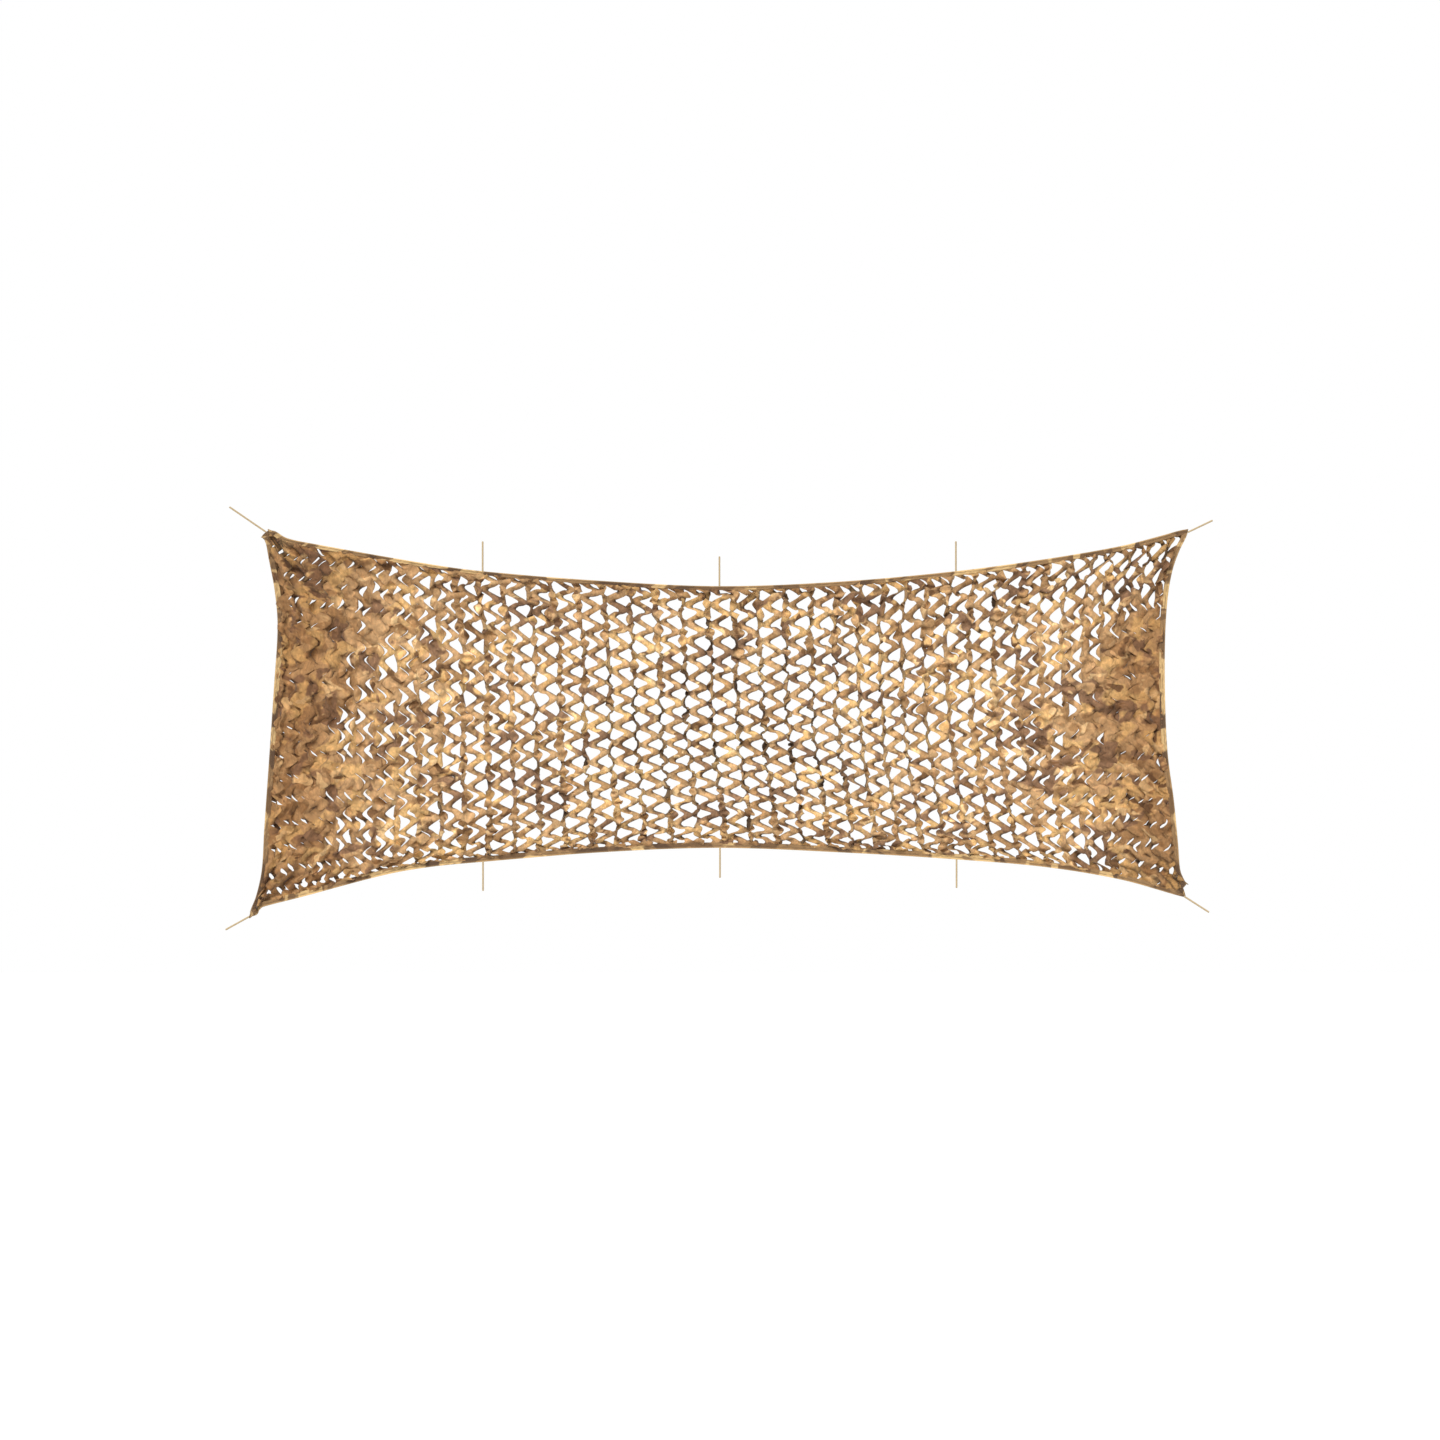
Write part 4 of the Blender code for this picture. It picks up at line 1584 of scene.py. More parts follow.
@dataclass
class FoldShade:
    """The painted shade of the hung cloth: how dark it lies in its folds and where it lies thick.
    """

    STREAKS = 21
    STREAK_SWAY = 1.6
    STREAK_WAVES = 17

    shape: StrungShape
    plan: CutPlan
    neck_width: float = 0.011
    neck_core: float = 1.4
    hollow_depth: float = 0.0045
    # how strong the painted shade is in hollows, along the slit walls and on the flaps' edges
    hollow_shade: float = 0.8
    edge_shade: float = 0.30
    flap_edge_share: float = 0.6
    # where the painted shade of the thick, gathered cloth lies, and how strong each part of it is
    no_slack_from: float = 0.62
    slack_shares: tuple[float, float, float] = (0.55, 0.60, 0.75)
    left_end: float = 0.16
    right_end: float = 0.88
    right_end_share: float = 0.8
    hem_reach: float = 0.08

    def hollows(self, cloth: CutCloth, points: np.ndarray) -> np.ndarray:
        """How deep points lie behind their neighbours.

        Args:
            cloth: the flat, cut cloth.
            points: where its points hang.

        Returns:
            One number for each point, from 0 to 1.
        """
        sides = np.vstack([cloth.faces[:, pair] for pair in ([0, 1], [1, 2], [2, 0])])
        first, second = sides[:, 0], sides[:, 1]
        shares = np.bincount(first, minlength=len(points))
        shares = np.maximum(shares + np.bincount(second, minlength=len(points)), 1)

        def around(values: np.ndarray) -> np.ndarray:
            """The mean value of each point's neighbours."""
            total = np.bincount(first, values[second], len(points))
            return (total + np.bincount(second, values[first], len(points))) / shares

        behind = points[:, 1] - around(points[:, 1])
        behind = 0.5 * behind + 0.5 * around(behind)
        return np.clip(behind / self.hollow_depth, 0.0, 1.0)

    def slack(self, u: np.ndarray, v: np.ndarray) -> np.ndarray:
        """The painted shade of the cloth where it lies thick and gathered: in its unopened parts,
        at its ends and by its hems.

        Args:
            u: shares from left to right.
            v: shares from top to bottom.

        Returns:
            One number for each point, from 0 to 1.
        """
        closed = 1 - np.clip(open_shares(u, v) / self.no_slack_from, 0.0, 1.0)
        right = self.right_end_share * ease(self.right_end, 1.0, u)
        end = np.maximum(ease(self.left_end, 0.0, u), right)
        above = np.minimum(v, 1 - v) * self.shape.height(u)
        hem = np.exp(-above / self.hem_reach)
        by_closed, by_end, by_hem = self.slack_shares
        return np.clip(by_closed * closed + by_end * end + by_hem * hem, 0.0, 1.0)

    def corner_streak_shade(self, u: np.ndarray, v: np.ndarray) -> np.ndarray:
        """The painted shade in the grooves of the cloth gathered into its corners.

        Args:
            u: shares from left to right.
            v: shares from top to bottom.

        Returns:
            One darkness for each point, from 0 to 1.
        """
        dark = np.zeros(len(u))
        for corner_u, corner_v, reach, strength in CORNER_FOLDS:
            out = np.abs(u - corner_u) * self.shape.width(v)
            up = np.abs(v - corner_v) * self.shape.height(u)
            heading = np.arctan2(up, out)
            away = np.hypot(out, up)
            sway = self.STREAK_SWAY * np.sin(self.STREAK_WAVES * away + 3 * heading)
            grooves = np.sin(self.STREAKS * heading + 2.0 + sway)
            fade = np.exp(-((away / reach) ** 2))
            dark = np.maximum(dark, strength * fade * (0.20 + 0.80 * ease(-0.1, 0.8, grooves)))
        return dark

    def folds(self, points: np.ndarray, rolled: np.ndarray) -> np.ndarray:
        """The painted shade of the cloth's folds: its rolled flaps and the necks on its threads.

        Args:
            points: x and z of each flat point.
            rolled: how far each is rolled up.

        Returns:
            One darkness for each point, from 0 to 1.
        """
        off = self.plan.bands(points)
        off = np.abs(off - np.round(off)) * self.plan.thread_pitch
        neck = np.clip(self.neck_core - off / self.neck_width, 0.0, 1.0)
        neck = neck * np.sqrt(self.plan.opened(points))
        return np.maximum(rolled, neck)

    def painted_crease_shades(self, cloth: CutCloth, points: np.ndarray, rolled: np.ndarray) -> np.ndarray:
        """The painted shade in every crease of the cloth.

        Args:
            cloth: the flat, cut cloth.
            points: where its points hang.
            rolled: how far each is rolled up.

        Returns:
            One darkness for each point, from 0 to 1.
        """
        hollows = self.hollow_shade * self.hollows(cloth, points)
        dark = np.maximum(self.folds(cloth.points, rolled), hollows)
        dark = np.maximum(dark, self.corner_streak_shade(*self.plan.shares(cloth.points)))
        # painted shadow along both sides of every slit
        for mouth in cloth.mouths:
            dark[cloth.wall_edge(mouth)] += self.edge_shade
            dark[cloth.flap_edge(mouth)] += self.edge_shade * self.flap_edge_share
        return np.minimum(dark, 1.0)


@dataclass
class NetSheet:
    """The slit cloth itself, made as two panels that meet on a thread."""

    HANG_PEAK = 27 / 4  # brings the greatest value of v (1 - v)^2 to 1

    shape: StrungShape
    thickness: float = 0.0010
    held_width: float = 0.022
    twist: float = 0.011
    sink_reach: float = 0.13
    sink_from: float = 0.7
    end_hold: tuple[float, float] = (0.02, 0.16)
    edge_hold: tuple[float, float] = (0.02, 0.09)
    zigzag: float = 0.008
    zigzag_hold: tuple[float, float] = (0.03, 0.10)
    proud: float = 0.009
    panel_threads: tuple[float, ...] = (0.0, 20.0, 40.3)
    plan: CutPlan = field(default_factory=CutPlan)
    curl: FlapCurl = field(default_factory=FlapCurl)
    crumple: Crumple = field(default_factory=Crumple)
    relaxation: Relaxation = field(default_factory=Relaxation)

    def twists(self, points: np.ndarray) -> np.ndarray:
        """How far the arms between the mouths lean out of the cloth.

        Args:
            points: x and z of each flat point.

        Returns:
            One lean, as y, for each point.
        """
        plan = self.plan
        across = np.sin(np.pi * np.mod(plan.bands(points), 1.0))
        return -self.twist * across * plan.row_waves(points) * plan.opened(points)

    def settle_down(self, points: np.ndarray, u: np.ndarray, v: np.ndarray) -> None:
        """Lets the rows hang apart under the top hem and crowd together lower down.

        Args:
            points: where the points hang, which is changed.
            u: shares from left to right.
            v: shares from top to bottom.
        """
        table = np.array(SETTLING)
        sink, hang = (np.interp(u, table[:, 0], table[:, i]) for i in (1, 2))
        above = (1 - v) * self.shape.height(u)
        sink = sink * (1 - np.exp(-above / self.sink_reach)) * ease(0.0, self.sink_from, v)
        hang = hang * v * (1 - v) ** 2 * self.HANG_PEAK
        left, right = ease(*self.end_hold, u), ease(*self.end_hold, 1 - u)
        points[:, 2] -= (sink + hang) * left * right

    def pull_aside(self, points: np.ndarray, flat: np.ndarray, raw: np.ndarray) -> None:
        """Draws every thread to and fro between the mouths on its two sides.

        Args:
            points: where the points hang, which is changed.
            flat: x and z of each in the flat cloth.
            raw: how far each lies from the raw edge.
        """
        sway = self.zigzag * self.plan.row_waves(flat) * self.plan.opened(flat)
        points[:, 0] -= sway * ease(*self.zigzag_hold, raw)

    def build(self, cloth_finish: bpy.types.Material) -> list[bpy.types.Object]:
        """Cuts, strings and relaxes the cloth.

        Args:
            cloth_finish: the printed cloth.

        Returns:
            The finished panels.
        """
        cloth = self.plan.lay_out()
        flat = cloth.points
        u, v = self.plan.shares(flat)
        surface = self.shape.place(u, v)
        shift, rolled = self.curl.roll(cloth, self.plan.opened)
        rest = np.stack([flat[:, 0], np.zeros(len(flat)), flat[:, 1]], axis=-1) + shift
        raw = np.minimum(flat, (self.plan.cut_width, self.plan.cut_height) - flat).min(axis=1)
        depths = (CAD_BOX[0][1] - self.proud, CAD_BOX[1][1] + self.proud)
        start = surface + shift
        folds = self.twists(flat) + self.crumple.rise(flat, self.plan.opened(flat))
        start[:, 1] += folds * ease(*self.edge_hold, raw)
        held = raw < self.held_width
        points = self.relaxation.settle(start, surface, rest, cloth.faces, held, depths)
        self.settle_down(points, u, v)
        self.pull_aside(points, flat, raw)
        shade = FoldShade(self.shape, self.plan)
        # the painted shade of the creases and of the thick, gathered cloth, read by the cloth's
        # finish
        shares = {"crease_shade": shade.painted_crease_shades(cloth, points, rolled), "slack": shade.slack(u, v)}
        middle = self.plan.bands(flat[cloth.faces].mean(axis=1))
        panels = []
        for number, (left, right) in enumerate(pairwise(self.panel_threads), start=1):
            lower = -np.inf if number == 1 else left
            upper = np.inf if right == self.panel_threads[-1] else right
            faces = cloth.faces[(middle >= lower) & (middle < upper)]
            panel = self.panel(f"cloth_panel_{number}", points, flat, faces, shares)
            panel.data.materials.append(cloth_finish)
            panels.append(panel)
        return panels

    def panel(
        self,
        name: str,
        points: np.ndarray,
        flat: np.ndarray,
        faces: np.ndarray,
        shares: dict[str, np.ndarray],
    ) -> bpy.types.Object:
        """Makes one panel of the cloth, with its thickness.

        Args:
            name: the panel's name.
            points: where the whole cloth's points hang.
            flat: x and z of each in the flat cloth.
            faces: the panel's triangles.
            shares: the numbers that the finish reads, by name.

        Returns:
            The panel.
        """
        used, faces = np.unique(faces, return_inverse=True)
        mesh = mesh_from(name, points[used], faces.reshape(-1, 3))
        set_uv(mesh, "cut", flat[used])
        for share, by_point in shares.items():
            set_share(mesh, share, by_point[used])
        panel = add_object(name, mesh)
        wall = panel.modifiers.new("thickness", "SOLIDIFY")
        wall.thickness = self.thickness
        wall.offset = 0.0
        return panel


@dataclass
class EdgeBinding:
    """A tape folded over one edge of the cloth, with a soft roll along its fold."""

    shape: StrungShape
    edge: Edge
    width: float = 0.030
    ring_step: float = 0.011
    roll_half: float = 0.0032
    flat_half: float = 0.0019
    uneven_width: float = 0.0006
    uneven_depth: float = 0.0004
    pucker: float = 0.0007
    pucker_length: float = 0.034
    pucker_sway: float = 1.3
    tuck: float = 0.008
    seed: int = 23
    # painted shade: how dark the grooves are painted, how far the shade of the gathered ends
    # reaches, and how dark the tape is painted at its start, its end and in between
    groove_shade_strength: float = 0.6
    shade_reach: float = 0.075
    shade_along: tuple[float, float, float] = (1.0, 1.0, 0.0)

    BEATS = (3.7, 5.3, 8.9)  # the slower waves, in lengths of one pucker

    SECTION = (  # share of the width, share from the flat half to the roll's, painted highlight, painted groove shade
        (0.000, 0.00, 1.0, 0.00),
        (0.020, 0.55, 1.0, 0.00),
        (0.060, 0.85, 1.0, 0.00),
        (0.130, 1.00, 0.7, 0.00),
        (0.220, 0.95, 0.2, 0.50),
        (0.330, 0.60, 0.0, 0.95),
        (0.430, 0.15, 0.0, 0.95),
        (0.600, 0.00, 0.0, 0.55),
        (0.800, 0.00, 0.0, 0.45),
        (0.950, 0.00, 0.0, 0.60),
        (1.000, -0.60, 0.0, 0.80),
    )

    def line(self) -> tuple[Rim, bool]:
        """The rim under the tape.

        Returns:
            The rim, and whether it runs across the net.
        """
        rims = {
            Edge.TOP: (self.shape.top, True),
            Edge.BOTTOM: (self.shape.bottom, True),
            Edge.LEFT: (self.shape.left, False),
            Edge.RIGHT: (self.shape.right, False),
        }
        return rims[self.edge]

    def at(self, along: np.ndarray, depth: np.ndarray) -> np.ndarray:
        """Points of the cloth's middle under the tape.

        Args:
            along: shares along the edge.
            depth: how far in from the rim.

        Returns:
            One x, y, z row for each point.
        """
        if self.edge in (Edge.TOP, Edge.BOTTOM):
            share = depth / self.shape.height(along)
            return self.shape.place(along, share if self.edge is Edge.TOP else 1 - share)
        share = depth / self.shape.width(along)
        return self.shape.place(share if self.edge is Edge.LEFT else 1 - share, along)

    def span(self) -> tuple[float, float]:
        """The part of the rim that the tape covers.

        Returns:
            The shares of the rim's length at which it starts and ends.
        """
        rim, runs_across = self.line()
        if runs_across:
            return 0.0, 1.0
        inset = (self.width - self.tuck) / rim.lengths[-1]
        return inset, 1 - inset

    def waves(self, run: np.ndarray) -> tuple[np.ndarray, np.ndarray]:
        """The sewn tape's unevenness along its length.

        Args:
            run: how far along the tape each ring lies.

        Returns:
            The short puckers, and the slower change in its width.
        """
        draw = random.Random(f"{self.seed} {self.edge.value}")
        phases = [draw.uniform(0, 2 * math.pi) for _ in range(4)]
        turn = 2 * math.pi / self.pucker_length * run
        sway, slow, slower = (
            np.sin(turn / beat + phase) for beat, phase in zip(self.BEATS, phases[1:])
        )
        return np.sin(turn + phases[0] + self.pucker_sway * sway), slow + slower

    def shade_dark(self, run: np.ndarray) -> np.ndarray:
        """How dark the tape is painted along its length, with painted shade at its gathered ends.

        Args:
            run: how far along the tape each ring lies.

        Returns:
            One number for each ring, from 0 to 1.
        """
        at_start, at_end, between = self.shade_along
        from_start = np.exp(-((run / self.shade_reach) ** 2)) * at_start
        from_end = np.exp(-(((run[-1] - run) / self.shade_reach) ** 2)) * at_end
        return np.maximum(np.maximum(from_start, from_end), between)

    def build(self, tape: bpy.types.Material) -> bpy.types.Object:
        """Folds the tape over the edge.

        Args:
            tape: the tape's finish.

        Returns:
            The finished piece.
        """
        rim, _ = self.line()
        start, end = self.span()
        rings = round(rim.lengths[-1] * (end - start) / self.ring_step) + 1
        along = np.linspace(start, end, rings)
        run = (along - start) * rim.lengths[-1]
        ripple, uneven = self.waves(run)
        tape_shade = self.shade_dark(run)
        columns, tape_uv, painted_light_and_tone, dark = [], [], [], []
        front = [(-1, *row) for row in reversed(self.SECTION)]
        back = [(1, *row) for row in self.SECTION[1:]]
        for side, share, swell, light, groove_shade in front + back:
            half = self.flat_half + (self.roll_half - self.flat_half) * swell
            half = half if share else 0.0
            loose = self.pucker * share * (1 - 0.35 * share)
            points = self.at(along, share * (self.width + self.uneven_width * uneven))
            points[:, 1] += side * half + loose * ripple + self.uneven_depth * uneven * (share > 0)
            columns.append(points)
            across = np.full(rings, side * share * self.width)
            tape_uv.append(np.stack([run, across], axis=-1))
            # painted highlight along the fold, less where the tape is painted darker all along
            painted_light_and_tone.append(np.full(rings, light * (1 - self.shade_along[2])))
            # painted shade of the gathered ends and of the grooves
            dark.append(np.maximum(tape_shade, groove_shade * self.groove_shade_strength))
        sides = len(columns)
        by_ring = np.arange(sides * rings).reshape(sides, rings).T.ravel()
        points = np.concatenate(columns)[by_ring]
        mesh = mesh_from(self.edge.value, points, tube_faces(rings, sides))
        set_uv(mesh, "tape", np.concatenate(tape_uv)[by_ring])
        set_share(mesh, "fold", np.concatenate(painted_light_and_tone)[by_ring])
        set_share(mesh, "tape_shade", np.concatenate(dark)[by_ring])
        mesh.materials.append(tape)
        turn_outwards(mesh)
        return add_object(f"{self.edge.value}_tape", mesh)


@dataclass
class TapeEar:
    """The folded, pointed end of a tape where it stands out past a corner."""

    name: str
    base: tuple[float, float, float]
    tip: tuple[float, float, float]
    width: float = 0.019
    half: float = 0.0035
    sides: int = 12
    rings: int = 10
    narrowing: float = 0.80
    thinning: float = 0.55
    pinch: float = 0.25
    bow: float = 0.0025
    # painted shade over the whole ear, and painted highlight on its two folded sides
    ear_shade: float = 0.9
    painted_light_and_tone: float = 0.25

    def build(self, tape: bpy.types.Material) -> bpy.types.Object:
        """Folds the end to its point.

        Args:
            tape: the tape's finish.

        Returns:
            The finished piece.
        """
        base, tip = np.array(self.base), np.array(self.tip)
        run = tip - base
        length = float(np.linalg.norm(run))
        forward = run / length
        front = np.array((0.0, -1.0, 0.0))
        across = np.cross(forward, front)
        angle = np.linspace(0.0, 2 * np.pi, self.sides, endpoint=False)
        points, uv, lights = [], [], []
        for ring in range(self.rings):
            share = ring / (self.rings - 1)
            taper = 1.0 - self.narrowing * share**1.6
            thick = self.half * (1.0 - self.thinning * share)
            pinch = 1.0 + self.pinch * np.cos(3 * angle + 4 * share)
            wide = np.cos(angle) * self.width / 2 * taper
            high = np.sin(angle) * thick * pinch
            bow = self.bow * math.sin(math.pi * share)
            middle = base + forward * length * share + front * bow
            points.append(middle + wide[:, None] * across + high[:, None] * front)
            along = np.full(self.sides, length * share)
            uv.append(np.stack([along, self.width * (0.5 + 0.5 * np.cos(angle))], axis=-1))
            # painted highlight on the ear's two folded sides
            lights.append(self.painted_light_and_tone * (np.abs(np.cos(angle)) > 0.9))
        faces = tube_faces(self.rings, self.sides)
        mesh = mesh_from(self.name, np.concatenate(points), faces)
        set_uv(mesh, "tape", np.concatenate(uv))
        # painted highlight on the folded sides, painted shade over the whole ear
        set_share(mesh, "fold", np.concatenate(lights))
        set_share(mesh, "tape_shade", np.full(len(mesh.vertices), self.ear_shade))
        mesh.materials.append(tape)
        turn_outwards(mesh)
        return add_object(self.name, mesh)


@dataclass
class TieCord:
    """One straight tie: a round braid with a sealed tip."""

    name: str
    start: tuple[float, float, float]
    end: tuple[float, float, float]
    diameter: float = 0.010
    strands: int = 8
    sides: int = 24
    ring_step: float = 0.0016
    braid_pitch: float = 0.024
    relief: float = 0.0007
    # how dark the braid's grooves are painted
    groove_shade_strength: float = 1.2
    sewn_in: float = 0.012
    root_share: float = 0.30
    tip_length: float = 0.004
    tip_share: float = 0.72
    path_steps: int = 20

    def root(self) -> Vector:
        """The end that is sewn flat inside the tape."""
        start, end = Vector(self.start), Vector(self.end)
        return start - (end - start).normalized() * self.sewn_in

    def path(self) -> list[tuple[float, float, float]]:
        """The cord's middle line, from its sewn end to its free one.

        Returns:
            The line's points.
        """
        start, end = self.root(), Vector(self.end)
        steps = self.path_steps
        return [tuple(start.lerp(end, i / steps)) for i in range(steps + 1)]

    def build(self, cord: bpy.types.Material) -> bpy.types.Object:
        """Braids the cord along its line.

        Args:
            cord: the cord's finish.

        Returns:
            The finished piece.
        """
        start, end = np.array(self.root()), np.array(self.end)
        run = end - start
        length = float(np.linalg.norm(run))
        forward = run / length
        side = np.array((0.0, 1.0, 0.0))
        other = np.cross(forward, side)
        rings = round(length / self.ring_step) + 1
        travel = np.linspace(0.0, length, rings)[:, None]
        angle = np.linspace(0.0, 2 * np.pi, self.sides, endpoint=False)[None, :]
        turn = 2 * np.pi * travel / self.braid_pitch
        half = self.strands / 2
        right = np.abs(np.sin((angle * half + turn * half) / 2))
        left = np.abs(np.sin((angle * half - turn * half) / 2))
        height = np.maximum(right, left)
        radius = self.diameter / 2 - self.relief * (1 - height) * 2
        tip = np.clip((length - travel) / self.tip_length, 0.0, 1.0)
        radius = radius * (self.tip_share + (1 - self.tip_share) * np.sqrt(tip))
        swell = ease(0.003, self.sewn_in, travel)
        radius = radius * (self.root_share + (1 - self.root_share) * swell)
        points = start + forward * travel[..., None]
        ring = np.cos(angle)[..., None] * side + np.sin(angle)[..., None] * other
        points = (points + ring * radius[..., None]).reshape(-1, 3)
        mesh = mesh_from(self.name, points, tube_faces(rings, self.sides))
        # painted shade in the grooves between the strands
        groove_shade = np.clip((1 - height) * self.groove_shade_strength, 0, 1)
        set_share(mesh, "groove_shade", groove_shade.reshape(-1))
        mesh.materials.append(cord)
        turn_outwards(mesh)
        return add_object(f"{self.name}_cord", mesh)


@dataclass
class StitchRow:
    """Rows of stitches along a tape, laid by a node tree."""

    pitch: float = 0.0085
    stitch: float = 0.0060
    radius: float = 0.00055
    depths: tuple[float, float] = (0.0125, 0.0265)
    lift: float = 0.0021
    seam_step: float = 0.02
    sides: int = 6
    rings: int = 4

    def sizes(self) -> dict[str, float]:
        """The sizes that the node tree takes, by their inputs' names."""
        return {"Pitch": self.pitch, "Stitch": self.stitch, "Radius": self.radius}

    def seams(self, binding: EdgeBinding) -> list[np.ndarray]:
        """The seams along a tape, on its front and its back.

        Args:
            binding: the tape.

        Returns:
            The points of each seam.
        """
        start, end = binding.span()
        rim, _ = binding.line()
        steps = round(rim.lengths[-1] * (end - start) / self.seam_step)
        along = np.linspace(start, end, steps)
        lines = []
        for depth in self.depths:
            for side in (-1, 1):
                points = binding.at(along, np.full(steps, depth))
                points[:, 1] += side * self.lift
                lines.append(points)
        return lines

    def tree(self, thread: bpy.types.Material) -> bpy.types.GeometryNodeTree:
        """The node tree: a stitch on every point of a resampled line.

        Args:
            thread: the thread's finish.

        Returns:
            The tree, with its sizes as named inputs.
        """
        tree = bpy.data.node_groups.new("stitch_row", "GeometryNodeTree")
        face = tree.interface
        face.new_socket("Geometry", in_out="INPUT", socket_type="NodeSocketGeometry")
        for name, value in self.sizes().items():
            socket = face.new_socket(name, in_out="INPUT", socket_type="NodeSocketFloat")
            socket.default_value = value
        face.new_socket("Geometry", in_out="OUTPUT", socket_type="NodeSocketGeometry")
        desk = TreeDesk(tree)
        source = desk.add("NodeGroupInput").outputs
        curve = desk.add("GeometryNodeMeshToCurve", {"Mesh": source["Geometry"]}).outputs[0]
        along = {"Curve": curve, "Length": source["Pitch"]}
        points = desk.add("GeometryNodeCurveToPoints", along, mode="LENGTH").outputs
        sphere = {"Segments": self.sides, "Rings": self.rings, "Radius": 1.0}
        shape = desk.add("GeometryNodeMeshUVSphere", sphere).outputs["Mesh"]
        half = desk.math("MULTIPLY", source["Stitch"], 0.5)
        size = {0: source["Radius"], 1: source["Radius"], 2: half}
        placed = {
            "Points": points["Points"],
            "Instance": shape,
            "Rotation": points["Rotation"],
            "Scale": desk.add("ShaderNodeCombineXYZ", size).outputs[0],
        }
        stitches = desk.add("GeometryNodeInstanceOnPoints", placed).outputs[0]
        real = desk.add("GeometryNodeRealizeInstances", {0: stitches}).outputs[0]
        dressed = desk.add("GeometryNodeSetMaterial", {0: real, "Material": thread}).outputs[0]
        desk.add("NodeGroupOutput", {0: dressed})
        return tree

    def sew(
        self,
        name: str,
        lines: list[np.ndarray],
        tree: bpy.types.GeometryNodeTree,
        thread: bpy.types.Material,
    ) -> bpy.types.Object:
        """Sews along lines of points.

        Args:
            name: the piece's name.
            lines: the points of each seam.
            tree: the stitch tree.
            thread: the thread's finish.

        Returns:
            The stitches as one plain mesh.
        """
        points, edges = [], []
        for line in lines:
            first = len(points)
            points.extend(line.tolist())
            edges.extend((i, i + 1) for i in range(first, len(points) - 1))
        path = bpy.data.meshes.new(f"{name}_path")
        path.from_pydata(points, edges, [])
        guide = add_object(f"{name}_path", path)
        modifier = guide.modifiers.new("stitches", "NODES")
        modifier.node_group = tree
        sockets = {
            item.name: item.identifier
            for item in tree.interface.items_tree
            if item.in_out == "INPUT"
        }
        for size, value in self.sizes().items():
            modifier[sockets[size]] = value
        graph = bpy.context.evaluated_depsgraph_get()
        mesh = bpy.data.meshes.new_from_object(guide.evaluated_get(graph), depsgraph=graph)
        guide.modifiers.remove(modifier)
        bpy.data.objects.remove(guide)
        mesh.name = name
        if not mesh.materials:
            mesh.materials.append(thread)
        mesh.shade_smooth()
        return add_object(name, mesh)


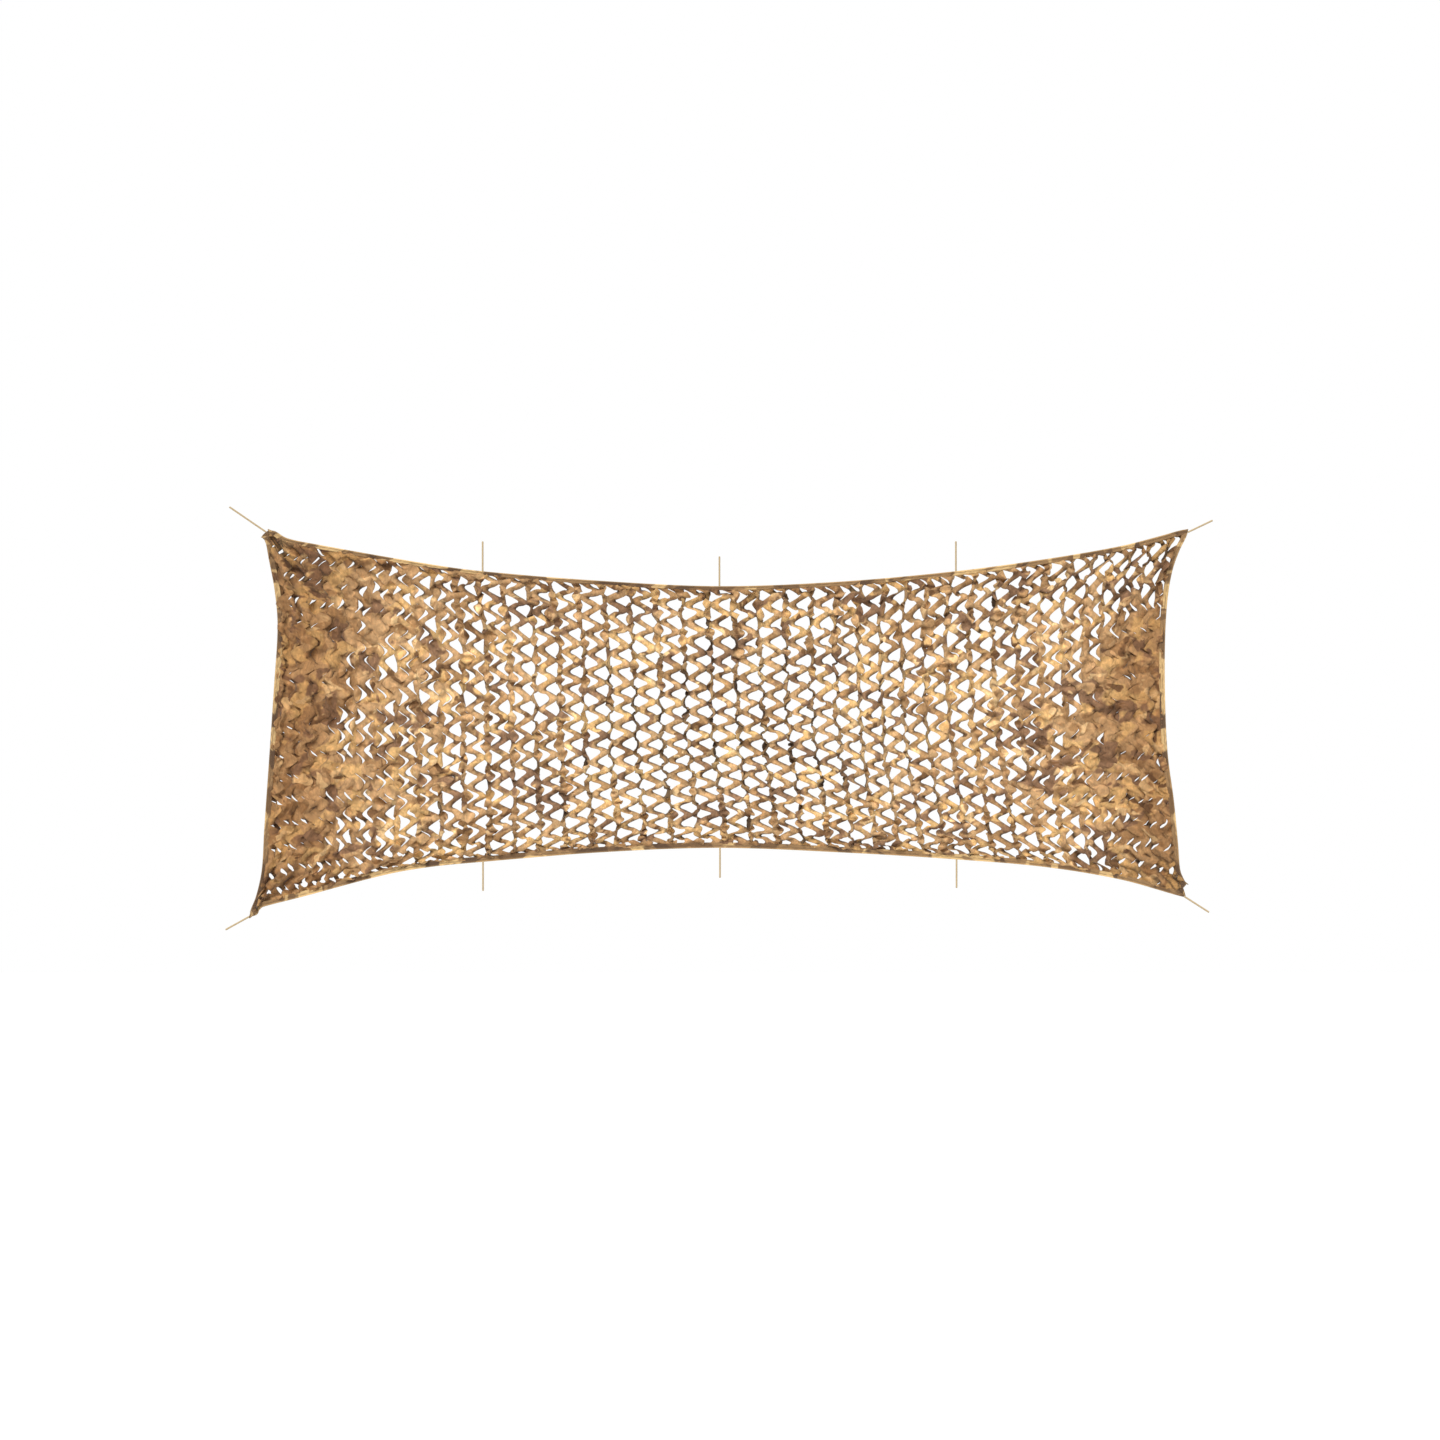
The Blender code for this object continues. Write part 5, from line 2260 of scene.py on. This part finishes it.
@dataclass
class Studio:
    """The pale floor, the soft light and the camera."""

    view_width: float = 7.68
    view_distance: float = 22.0
    middle: tuple[float, float] = (0.003, -0.714)
    floor_level: float = -3.05
    floor_half: float = 16.0
    sensor: float = 36.0
    front_level: float = 0.68
    front_ends: tuple[float, float] = (-0.5, 0.4)
    lift_by_height: float = 0.6
    key_level: float = 4.0
    key_softness: float = 36.0
    key_aim: tuple[float, float, float] = (0.25, 0.75, -0.85)

    def build(self) -> None:
        """Sets the stage round the net."""
        self.build_camera()
        self.build_floor()
        self.build_light()

    def build_camera(self) -> None:
        """A long lens straight in front of the net."""
        lens = bpy.data.cameras.new("camera")
        lens.sensor_width = self.sensor
        lens.lens = self.sensor * self.view_distance / self.view_width
        lens.clip_end = 100.0
        camera = add_object("camera", lens)
        camera.location = (self.middle[0], -self.view_distance, self.middle[1])
        camera.rotation_euler = (math.radians(90), 0.0, 0.0)
        bpy.context.scene.camera = camera

    def build_floor(self) -> None:
        """A wide plain floor under the net."""
        half, level = self.floor_half, self.floor_level
        corners = [(-half, -half, level), (half, -half, level), (half, half, level)]
        corners.append((-half, half, level))
        mesh = mesh_from("floor", np.array(corners), [(0, 1, 2, 3)])
        mesh.materials.append(PaleFloor().make())
        add_object("floor", mesh)

    def build_light(self) -> None:
        """A white surround that is dimmer in front, and a soft lamp high above the front."""
        scene = bpy.context.scene
        scene.view_settings.view_transform = "Standard"
        world = bpy.data.worlds.new("surround")
        world.use_nodes = True
        desk = TreeDesk(world.node_tree)
        place = desk.add("ShaderNodeTexCoord").outputs["Generated"]
        parts = desk.add("ShaderNodeSeparateXYZ", {0: place}).outputs
        lift = desk.math("MULTIPLY_ADD", parts["Z"], self.lift_by_height, parts["Y"])
        blend = {
            "Value": lift,
            "From Min": self.front_ends[0],
            "From Max": self.front_ends[1],
            "To Min": self.front_level,
            "To Max": 1.0,
        }
        blended = desk.add("ShaderNodeMapRange", blend, interpolation_type="SMOOTHSTEP")
        surround = world.node_tree.nodes["Background"]
        surround.inputs["Color"].default_value = (1.0, 1.0, 1.0, 1.0)
        desk.tree.links.new(blended.outputs[0], surround.inputs["Strength"])
        scene.world = world
        lamp = bpy.data.lights.new("key", "SUN")
        lamp.energy = self.key_level
        lamp.angle = math.radians(self.key_softness)
        key = add_object("key", lamp)
        key.location = (-2.0, -6.0, 5.0)
        aim = Vector(self.key_aim)
        key.rotation_euler = aim.to_track_quat("-Z", "Y").to_euler()


def dress(piece: bpy.types.Object, slot: str, *nodes: str) -> None:
    """Fixes a piece to the net's body, in place of its solids.

    Args:
        piece: the piece.
        slot: its material slot's name; not used.
        nodes: the names of the solids that it replaces.
    """
    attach(piece, BODY)
    if nodes:
        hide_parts(*nodes)
    LOG.info("%s: %d faces", piece.name, len(piece.data.polygons))


def main() -> None:
    """Builds the studio, the ties, the cloth, its bindings and their stitches."""
    logging.basicConfig(level=logging.INFO, format="%(message)s")
    Studio().build()
    shape = StrungShape()
    cord_finish = TieCordFinish().make()
    for name, *ends in TIES:
        tie = TieCord(name, tuple(ends[:3]), tuple(ends[3:]))
        piece = tie.build(cord_finish)
        dress(piece, "tie_cord", name)
    tape, thread = BindingTape().make(), StitchThread().make()
    row = StitchRow()
    stitch_tree = row.tree(thread)
    for edge in Edge:
        binding = EdgeBinding(shape, edge, shade_along=TAPE_SHADING[edge])
        piece = binding.build(tape)
        dress(piece, "binding_tape", edge.value)
        stitches = row.sew(f"{edge.value}_stitches", row.seams(binding), stitch_tree, thread)
        dress(stitches, "binding_tape")
    for name, *ends, width in EARS:
        ear = TapeEar(name, tuple(ends[:3]), tuple(ends[3:]), width)
        dress(ear.build(tape), "binding_tape")
    net = NetSheet(shape)
    for number, panel in enumerate(net.build(NetCloth().make())):
        dress(panel, "net_cloth", "net")


if __name__ == "__main__":
    main()
